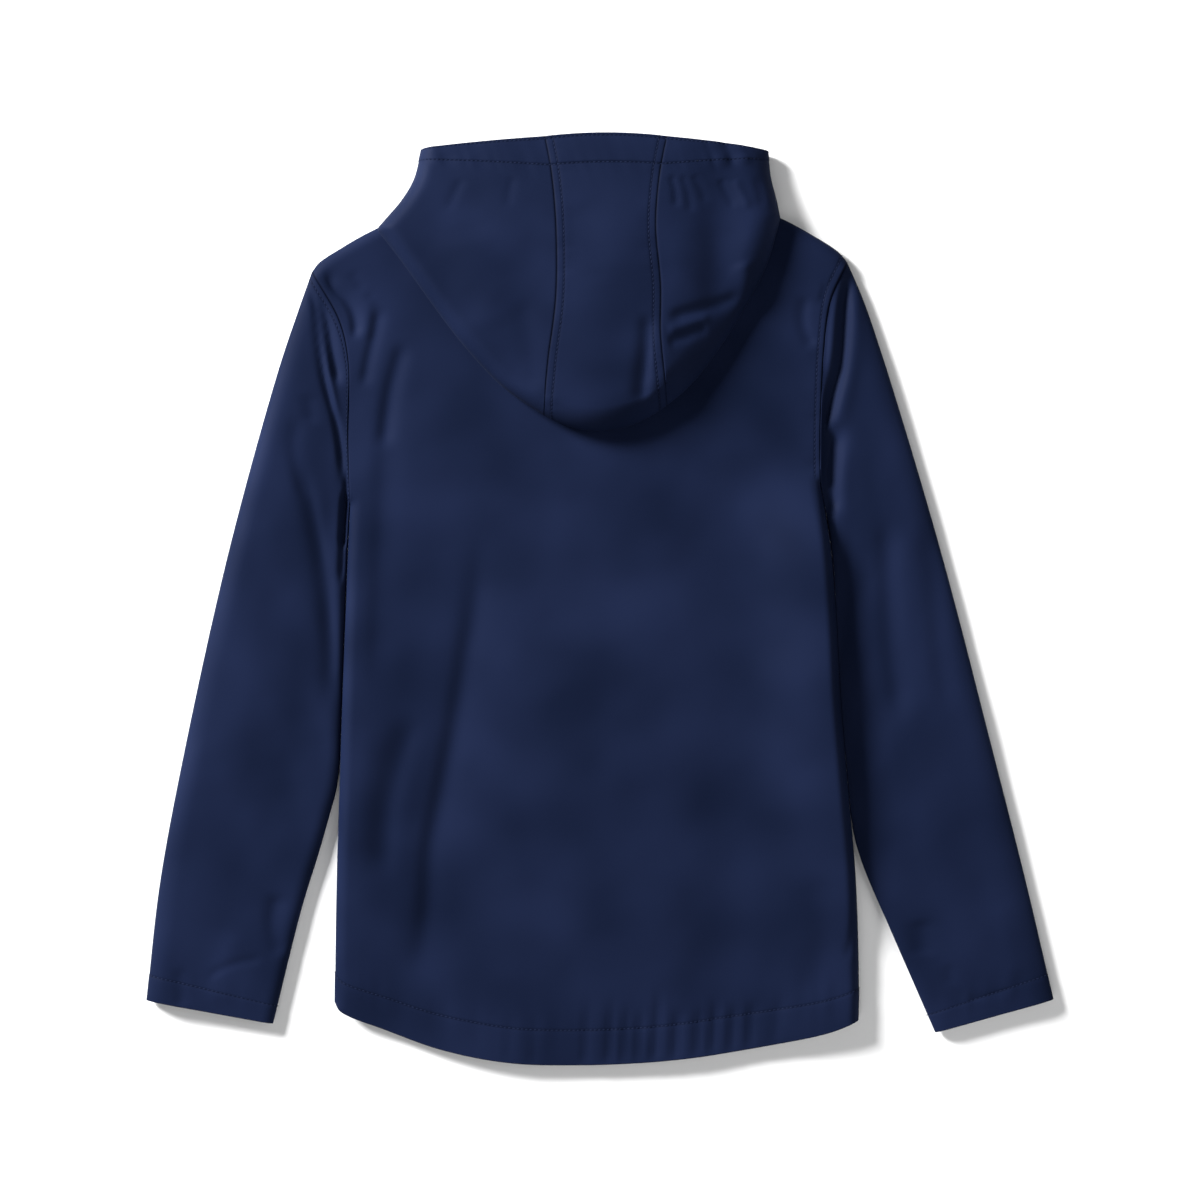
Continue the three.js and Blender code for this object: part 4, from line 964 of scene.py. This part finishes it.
def hood_pieces():
    """The hood's two sides and the strip between their crown seams."""
    pieces, lines, skins = [], [], {}
    casing = hood_casing(HOOD_ROWS * HOOD_LENGTH)[:, None]
    for key in ("left", "right"):
        skin, sunk, painted_shade, folded = hood_side_skin(key)
        skins[key] = skin, folded
        skin = skin + sunk[..., None] * np.array([0, 0, 1])
        on_top = (np.arange(skin.shape[1]) < folded - 1)[None]
        piece = make_cloth(
            f"hood_side_{key}_cloth", skin, turned=key == "right", thick=mix(CLOTH, HEM_CLOTH, casing),
            rise=HEM_RISE * casing * on_top, seam=painted_shade)
        pieces.append(piece)
        lines += [line_of(piece, row=BRIM_ROW, start=1), line_of(piece, row=CASING_ROW, start=1)]
    left, right = (np.vstack([skins[key][0][:, 0], skins[key][0][-1, 1:]]) for key in ("left", "right"))
    count = len(HOOD_ROWS)
    left[:, 0] += SEAM_GAP
    right[:, 0] -= SEAM_GAP
    fold_row = count + skins["left"][1] - 2
    widths = np.linalg.norm(left - right, axis=1)
    nominal = 84
    stations = spaced(EDGE, EDGE, nominal, 2.4)
    across = fitted(stations, nominal, len(EDGE), len(EDGE), widths)
    skin = mix(left[:, None], right[:, None], across[..., None])
    at = np.minimum(np.arange(len(left)), count - 1)
    from_fold = np.linalg.norm(left - left[fold_row], axis=1)
    bulge = -HOOD_FOLD_BULGE * bell(from_fold, HOOD_BULGE_REACH)
    arch = HOOD_BRIM_ARCH * (1 - ease(HOOD_ROWS[at] / 0.3))
    skin[..., 1] += (bulge + arch)[:, None] * 4 * across * (1 - across)
    plan = skin[..., :2]
    on_top = np.zeros(len(left))
    on_top[:fold_row + 1] = 1
    fading = ease(from_fold / 16)[:, None] * on_top[:, None]
    from_seam = np.minimum(across, 1 - across) * widths[:, None]
    row_mm = np.broadcast_to((HOOD_ROWS[at] * HOOD_LENGTH)[:, None], across.shape)
    stitch = np.maximum(stitch_marks(row_mm, EDGE_STITCH), stitch_marks(row_mm, HOOD_CASING * HOOD_LENGTH))
    stitch = stitch * on_top[:, None]
    topstitch = stitch_marks(from_seam, TOPSTITCH)
    inside = ease(from_seam / 14)
    lift = 1.2 * 4 * across * (1 - across) + gather(plan, row_mm) * inside - STITCH_DEPTH * stitch
    lift += (folds_at(HOOD_FOLDS, plan) + uneven_at(HOOD_MIDDLE_UNEVEN, plan)) * inside
    lift += pull_at(HOOD_PULL, plan[..., 1], from_seam - TOPSTITCH)
    lift += ditch(from_seam, SEAM_DEPTH, SEAM_HALF) - STITCH_DEPTH * topstitch
    skin[..., 2] += lift * fading
    # Painted shade in the stitch rows, the topstitching and the grooves of the crown seams
    painted_shade = np.maximum(STITCH_PAINTED_SHADE * np.maximum(stitch, topstitch), bell(from_seam, SEAM_HALF))
    doubled = (casing[at, 0] * on_top)[:, None]
    piece = make_cloth(
        "hood_centre_cloth", skin, turned=True, thick=mix(CLOTH, HEM_CLOTH, doubled),
        rise=HEM_RISE * doubled, seam=painted_shade)
    pieces.append(piece)
    lines += [line_of(piece, row=BRIM_ROW), line_of(piece, row=CASING_ROW)]
    inset = EDGE.index(TOPSTITCH)
    for column in (inset, len(stations) - 1 - inset):
        lines.append(line_of(piece, column=column, start=1, stop=-2))
    return pieces, lines


# Press studs: half sections of the cap, as radius and height
STUD_PROFILE = [
    (0, 0.12), (1.6, 0.1), (2.6, 0.04), (3, 0.16), (3.3, 0.24), (3.7, 0.2), (4.1, 0.03), (4.7, 0),
    (5.4, 0.03), (5.8, 0.18), (6, 0.42), (5.95, 0.6), (5.5, 0.84), (5, 0.9), (0, 0.9)]
STUD_SIDES = 48


def press_stud(number):
    """One moulded press stud cap, seen from the outside of the placket."""
    low, high = HEM_CENTRE[1] + STUD_MARGIN, CHIN[1] - STUD_MARGIN / 2
    y = mix(high, low, (number - 1) / (STUD_COUNT - 1))
    turns = np.linspace(0, 2 * np.pi, STUD_SIDES, endpoint=False)
    circle = np.stack([np.cos(turns), np.sin(turns), np.zeros(STUD_SIDES)], -1)
    rings = [circle * r + np.array([0, 0, z]) for r, z in STUD_PROFILE[1:-1]]
    points = np.vstack([*rings, [(0, 0, STUD_PROFILE[0][1])], [(0, 0, STUD_PROFILE[-1][1])]])
    points += np.array([centre_at(y), y, 0])
    last, faces = len(rings) * STUD_SIDES, []
    for k in range(STUD_SIDES):
        following = (k + 1) % STUD_SIDES
        faces.append((last, following, k))
        for ring in range(len(rings) - 1):
            a, b = ring * STUD_SIDES, (ring + 1) * STUD_SIDES
            faces.append((a + k, a + following, b + following, b + k))
        top = (len(rings) - 1) * STUD_SIDES
        faces.append((last + 1, top + k, top + following))
    mesh = bpy.data.meshes.new(f"stud_cap_{number}")
    mesh.from_pydata((points * MM).tolist(), [], faces)
    mesh.polygons.foreach_set("use_smooth", np.ones(len(faces), bool))
    stud = bpy.data.objects.new(mesh.name, mesh)
    bpy.context.scene.collection.objects.link(stud)
    return stud


def stitch_tree():
    """Geometry nodes that set rounded stitches along lines of points on the cloth."""
    tree = bpy.data.node_groups.new("stitch_rows", "GeometryNodeTree")
    tree.interface.new_socket("Geometry", in_out="INPUT", socket_type="NodeSocketGeometry")
    for name in ("Pitch", "Length", "Thickness"):
        tree.interface.new_socket(name, in_out="INPUT", socket_type="NodeSocketFloat")
    tree.interface.new_socket("Thread", in_out="INPUT", socket_type="NodeSocketMaterial")
    tree.interface.new_socket("Geometry", in_out="OUTPUT", socket_type="NodeSocketGeometry")
    node = tree.nodes.new
    link = tree.links.new
    given, result = node("NodeGroupInput"), node("NodeGroupOutput")
    curve, resample = node("GeometryNodeMeshToCurve"), node("GeometryNodeResampleCurve")
    resample.mode = "LENGTH"
    link(given.outputs["Geometry"], curve.inputs["Mesh"])
    link(curve.outputs["Curve"], resample.inputs["Curve"])
    link(given.outputs["Pitch"], resample.inputs["Length"])
    ball, size = node("GeometryNodeMeshUVSphere"), node("ShaderNodeCombineXYZ")
    ball.inputs["Segments"].default_value = 6
    ball.inputs["Rings"].default_value = 5
    ball.inputs["Radius"].default_value = 0.5
    shape = node("GeometryNodeTransform")
    link(ball.outputs["Mesh"], shape.inputs["Geometry"])
    link(given.outputs["Length"], size.inputs["X"])
    link(given.outputs["Thickness"], size.inputs["Y"])
    link(given.outputs["Thickness"], size.inputs["Z"])
    link(size.outputs["Vector"], shape.inputs["Scale"])
    tangent, up = node("GeometryNodeInputTangent"), node("GeometryNodeInputNamedAttribute")
    up.data_type = "FLOAT_VECTOR"
    up.inputs["Name"].default_value = "up"
    along, upright = node("FunctionNodeAlignRotationToVector"), node("FunctionNodeAlignRotationToVector")
    along.axis, upright.axis, upright.pivot_axis = "X", "Z", "X"
    link(tangent.outputs["Tangent"], along.inputs["Vector"])
    link(along.outputs["Rotation"], upright.inputs["Rotation"])
    link(up.outputs["Attribute"], upright.inputs["Vector"])
    uneven = node("FunctionNodeRandomValue")
    uneven.data_type = "FLOAT"
    uneven.inputs["Seed"].default_value = 7
    for socket in uneven.inputs:
        if socket.type == "VALUE" and socket.name in ("Min", "Max"):
            socket.default_value = 0.9 if socket.name == "Min" else 1.08
    place = node("GeometryNodeInstanceOnPoints")
    link(resample.outputs["Curve"], place.inputs["Points"])
    link(shape.outputs["Geometry"], place.inputs["Instance"])
    link(upright.outputs["Rotation"], place.inputs["Rotation"])
    link(next(s for s in uneven.outputs if s.type == "VALUE"), place.inputs["Scale"])
    real, colour = node("GeometryNodeRealizeInstances"), node("GeometryNodeSetMaterial")
    smooth = node("GeometryNodeSetShadeSmooth")
    link(place.outputs["Instances"], smooth.inputs["Geometry"])
    link(smooth.outputs["Geometry"], real.inputs["Geometry"])
    link(real.outputs["Geometry"], colour.inputs["Geometry"])
    link(given.outputs["Thread"], colour.inputs["Material"])
    link(colour.outputs["Geometry"], result.inputs["Geometry"])
    return tree


STITCH = {"Pitch": 3.1 * MM, "Length": 2.5 * MM, "Thickness": 0.66 * MM}
STITCH_SINK = 0.02


def stitching(name, lines, tree, thread):
    """The stitches of one garment part, along its lines of points, as one plain mesh."""
    mesh = bpy.data.meshes.new(name)
    points = np.vstack([points + up * STITCH_SINK for points, up in lines]) * MM
    ends = np.cumsum([len(points_up[0]) for points_up in lines])
    edges = [(k, k + 1) for k in range(len(points) - 1) if k + 1 not in set(ends.tolist())]
    mesh.from_pydata(points.tolist(), edges, [])
    ups = mesh.attributes.new("up", "FLOAT_VECTOR", "POINT")
    ups.data.foreach_set("vector", np.vstack([up for _, up in lines]).astype(np.float32).ravel())
    rows = bpy.data.objects.new(name + "_rows", mesh)
    bpy.context.scene.collection.objects.link(rows)
    modifier = rows.modifiers.new("stitches", "NODES")
    modifier.node_group = tree
    for socket in tree.interface.items_tree:
        if socket.item_type == "SOCKET" and socket.in_out == "INPUT":
            if socket.name in STITCH:
                modifier[socket.identifier] = STITCH[socket.name]
            elif socket.name == "Thread":
                modifier[socket.identifier] = thread
    bpy.context.view_layer.update()
    made = bpy.data.meshes.new_from_object(rows.evaluated_get(bpy.context.evaluated_depsgraph_get()))
    made.name = name
    rows.modifiers.clear()
    bpy.data.objects.remove(rows)
    piece = bpy.data.objects.new(name, made)
    bpy.context.scene.collection.objects.link(piece)
    return piece


def group(name, inputs, outputs):
    """An empty shader node group with named sockets."""
    made = bpy.data.node_groups.new(name, "ShaderNodeTree")
    for socket, kind, value in inputs:
        item = made.interface.new_socket(socket, in_out="INPUT", socket_type=kind)
        if value is not None:
            item.default_value = value
    for socket, kind in outputs:
        made.interface.new_socket(socket, in_out="OUTPUT", socket_type=kind)
    return made


def grain_group():
    """Fine grain and slow mottling of a coated surface, from a position in millimetres."""
    made = group(
        "coating_grain",
        [("Position", "NodeSocketVector", None), ("Grain", "NodeSocketFloat", 0.5),
         ("Mottle", "NodeSocketFloat", 30.0)],
        [("Height", "NodeSocketFloat"), ("Tone", "NodeSocketFloat")])
    node, link = made.nodes.new, made.links.new
    given, result = node("NodeGroupInput"), node("NodeGroupOutput")

    def noise(size, detail, rough):
        per_mm, field = node("ShaderNodeMath"), node("ShaderNodeTexNoise")
        per_mm.operation = "DIVIDE"
        per_mm.inputs[0].default_value = 1
        link(given.outputs[size], per_mm.inputs[1])
        field.inputs["Detail"].default_value = detail
        field.inputs["Roughness"].default_value = rough
        link(given.outputs["Position"], field.inputs["Vector"])
        link(per_mm.outputs[0], field.inputs["Scale"])
        return field.outputs["Fac"]

    fine, slow = noise("Grain", 2, 0.6), noise("Mottle", 1, 0.4)
    tone = node("ShaderNodeMath")
    tone.operation = "MULTIPLY_ADD"
    link(fine, tone.inputs[0])
    tone.inputs[1].default_value = 0.35
    link(slow, tone.inputs[2])
    link(fine, result.inputs["Height"])
    link(tone.outputs[0], result.inputs["Tone"])
    return made


def mapped(tree, value, low, high):
    """A cloth tone spread between two values."""
    made = tree.nodes.new("ShaderNodeMapRange")
    for socket, given in (("From Min", 0.45), ("From Max", 0.9), ("To Min", low), ("To Max", high)):
        made.inputs[socket].default_value = given
    tree.links.new(value, made.inputs["Value"])
    return made.outputs["Result"]


def mixed(tree, share, first, second):
    """Two colours mixed, of which the first may come from a socket."""
    made = tree.nodes.new("ShaderNodeMix")
    made.data_type = "RGBA"
    tree.links.new(share, made.inputs["Factor"])
    if isinstance(first, tuple):
        made.inputs["A"].default_value = first
    else:
        tree.links.new(first, made.inputs["A"])
    made.inputs["B"].default_value = second
    return made.outputs["Result"]


def grain_at(tree, place, grain, size, mottle):
    """The grain of a surface from a place in metres."""
    scale, made = tree.nodes.new("ShaderNodeVectorMath"), tree.nodes.new("ShaderNodeGroup")
    scale.operation = "SCALE"
    scale.inputs["Scale"].default_value = 1 / MM
    made.node_tree = grain
    made.inputs["Grain"].default_value = size
    made.inputs["Mottle"].default_value = mottle
    tree.links.new(place, scale.inputs[0])
    tree.links.new(scale.outputs["Vector"], made.inputs["Position"])
    return made


def raise_grain(tree, fine, strength, depth):
    bump = tree.nodes.new("ShaderNodeBump")
    bump.inputs["Strength"].default_value = strength
    bump.inputs["Distance"].default_value = depth * MM
    tree.links.new(fine.outputs["Height"], bump.inputs["Height"])
    tree.links.new(bump.outputs["Normal"], tree.nodes["Principled BSDF"].inputs["Normal"])


CLOTH_DARK = (0.0038, 0.0070, 0.0220, 1)
CLOTH_PALE = (0.0074, 0.0122, 0.0362, 1)
# Painted shade: the colour that the cloth is darkened toward in the grooves of seams and stitch rows
SEAM_PAINTED_SHADE = (0.0012, 0.0023, 0.0082, 1)


def coated_cloth(grain):
    """Navy cloth with a matt satin coating."""
    made = bpy.data.materials.new("coated_navy_cloth")
    made.use_nodes = True
    tree = made.node_tree
    node, link = tree.nodes.new, tree.links.new
    shader = tree.nodes["Principled BSDF"]
    shader.inputs["Specular IOR Level"].default_value = 0.025
    shader.inputs["Sheen Weight"].default_value = 0.01
    shader.inputs["Sheen Roughness"].default_value = 0.45
    shader.inputs["Sheen Tint"].default_value = (0.55, 0.68, 1, 1)
    cut = node("ShaderNodeUVMap")
    cut.uv_map = "cut"
    fine = grain_at(tree, cut.outputs["UV"], grain, 0.7, 72)
    tone = fine.outputs["Tone"]
    # Painted shade: the 'seam' attribute darkens the colour in the grooves of seams and stitch rows
    seam, strength = node("ShaderNodeAttribute"), node("ShaderNodeMath")
    seam.attribute_name = "seam"
    strength.operation = "MULTIPLY"
    strength.inputs[1].default_value = 0.85
    link(seam.outputs["Fac"], strength.inputs[0])
    colour = mixed(tree, mapped(tree, tone, 0, 1), CLOTH_DARK, CLOTH_PALE)
    link(mixed(tree, strength.outputs[0], colour, SEAM_PAINTED_SHADE), shader.inputs["Base Color"])
    link(mapped(tree, tone, 0.63, 0.59), shader.inputs["Roughness"])
    raise_grain(tree, fine, 0.35, 0.12)
    return made


def plain_grained(name, dark, pale, grain, size, rough, shine):
    """A material of one colour with fine grain, on the position in the object."""
    made = bpy.data.materials.new(name)
    made.use_nodes = True
    tree = made.node_tree
    shader, place = tree.nodes["Principled BSDF"], tree.nodes.new("ShaderNodeTexCoord")
    fine = grain_at(tree, place.outputs["Object"], grain, size, 12)
    tree.links.new(mixed(tree, fine.outputs["Tone"], dark, pale), shader.inputs["Base Color"])
    shader.inputs["Roughness"].default_value = rough
    shader.inputs["Specular IOR Level"].default_value = shine
    raise_grain(tree, fine, 0.3, 0.05)
    return made


# Floor, lights and camera. A light stands in that direction from the coat, at that distance.
Lamp = namedtuple("Lamp", "name direction distance size power")
LAMPS = [
    Lamp("key", (-0.65, 0.46, 0.355), 3.2, 0.9, 365),
    Lamp("fill_right", (0.75, -0.1, 0.62), 3.2, 2.4, 34),
    Lamp("fill_low", (-0.1, -0.8, 0.6), 3.2, 2.4, 34),
]
WORLD_LIGHT = 0.11
CAMERA_HEIGHT = 2.2
VIEW_WIDTH = 0.864
COAT_MIDDLE_HEIGHT = 0.012
SENSOR = 36


def studio():
    """A plain white floor, soft lights, and the camera straight above."""
    mesh = bpy.data.meshes.new("floor")
    half = 4
    corners = [(-half, -half, 0), (half, -half, 0), (half, half, 0), (-half, half, 0)]
    mesh.from_pydata(corners, [], [(0, 1, 2, 3)])
    floor = bpy.data.objects.new("floor", mesh)
    bpy.context.scene.collection.objects.link(floor)
    white = bpy.data.materials.new("white_floor")
    white.use_nodes = True
    shader = white.node_tree.nodes["Principled BSDF"]
    shader.inputs["Base Color"].default_value = (0.9, 0.9, 0.9, 1)
    shader.inputs["Roughness"].default_value = 0.9
    shader.inputs["Specular IOR Level"].default_value = 0.1
    mesh.materials.append(white)
    for lamp in LAMPS:
        data = bpy.data.lights.new(lamp.name, "AREA")
        data.size = lamp.size
        data.energy = lamp.power
        light = bpy.data.objects.new(lamp.name, data)
        direction = Vector(lamp.direction).normalized()
        light.location = direction * lamp.distance
        light.rotation_euler = direction.to_track_quat("Z", "Y").to_euler()
        light.visible_camera = False
        bpy.context.scene.collection.objects.link(light)
    world = bpy.data.worlds.new("studio")
    bpy.context.scene.world = world
    world.use_nodes = True
    tree = world.node_tree
    seen, path = tree.nodes["Background"], tree.nodes.new("ShaderNodeLightPath")
    level = tree.nodes.new("ShaderNodeMapRange")
    seen.inputs["Color"].default_value = (0.96, 0.98, 1, 1)
    level.inputs["To Min"].default_value = WORLD_LIGHT
    level.inputs["To Max"].default_value = 0.9
    tree.links.new(path.outputs["Is Camera Ray"], level.inputs["Value"])
    tree.links.new(level.outputs["Result"], seen.inputs["Strength"])
    data = bpy.data.cameras.new("camera")
    data.sensor_width = SENSOR
    data.lens = SENSOR * (CAMERA_HEIGHT - COAT_MIDDLE_HEIGHT) / VIEW_WIDTH
    camera = bpy.data.objects.new("camera", data)
    camera.location = (0, 0, CAMERA_HEIGHT)
    bpy.context.scene.collection.objects.link(camera)
    bpy.context.scene.camera = camera
    bpy.context.scene.view_settings.view_transform = "Standard"


studio()
grain = grain_group()
cloth_finish = coated_cloth(grain)
thread_finish = plain_grained(
    "navy_thread", (0.0046, 0.0086, 0.0280, 1), (0.0078, 0.0136, 0.0410, 1), grain, size=0.3, rough=0.7, shine=0.08)
stud_finish = plain_grained(
    "navy_stud", (0.006, 0.009, 0.026, 1), (0.009, 0.013, 0.034, 1), grain, size=0.4, rough=0.38, shine=0.4)
tree = stitch_tree()

back, back_lines = back_panel()
fronts = {key: front_panel(side) for key, side in (("left", -1), ("right", 1))}
sleeves = {key: sleeve_piece(key) for key in ("left", "right")}
hood, hood_lines = hood_pieces()
hood_left, hood_right, hood_centre = hood

# Each piece of cloth: its solid, the size it is cut to, its flat area and what it lies on
Garment = namedtuple("Garment", "cut lines node width length area rests_on")
GARMENTS = [
    Garment(back, back_lines, "back_panel", 0.42, 0.62, 0.225, ["front_left_cloth", "front_right_cloth"]),
    Garment(*fronts["left"], "front_left", 0.24, 0.6, 0.115, ["floor"]),
    Garment(*fronts["right"], "front_right", 0.23, 0.6, 0.115, ["floor"]),
    Garment(*sleeves["left"], "sleeve_left", 0.32, 0.54, 0.12, ["floor"]),
    Garment(*sleeves["right"], "sleeve_right", 0.32, 0.54, 0.12, ["floor"]),
    Garment(hood_left, [], "hood_side_left", 0.2, 0.27, 0.036, ["back_cloth"]),
    Garment(hood_right, [], "hood_side_right", 0.18, 0.27, 0.031, ["back_cloth"]),
    Garment(hood_centre, [], "hood_centre", 0.1, 0.36, 0.03, ["back_cloth"]),
]
for garment in GARMENTS:
    piece = garment.cut.object
    piece.data.materials.append(cloth_finish)
    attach(piece, "root")
    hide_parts(garment.node)

for name, lines in (
        ("back_stitches", back_lines),
        ("front_left_stitches", fronts["left"][1]),
        ("front_right_stitches", fronts["right"][1]),
        ("sleeve_left_stitches", sleeves["left"][1]),
        ("sleeve_right_stitches", sleeves["right"][1]),
        ("hood_stitches", hood_lines)):
    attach(stitching(name, lines, tree, thread_finish), "root")

for number in range(1, STUD_COUNT + 1):
    stud = press_stud(number)
    stud.data.materials.append(stud_finish)
    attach(stud, "root")
    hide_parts(f"press_stud_{number}")

for garment in GARMENTS:
    name = garment.cut.object.name.replace("_cloth", "_stitches")
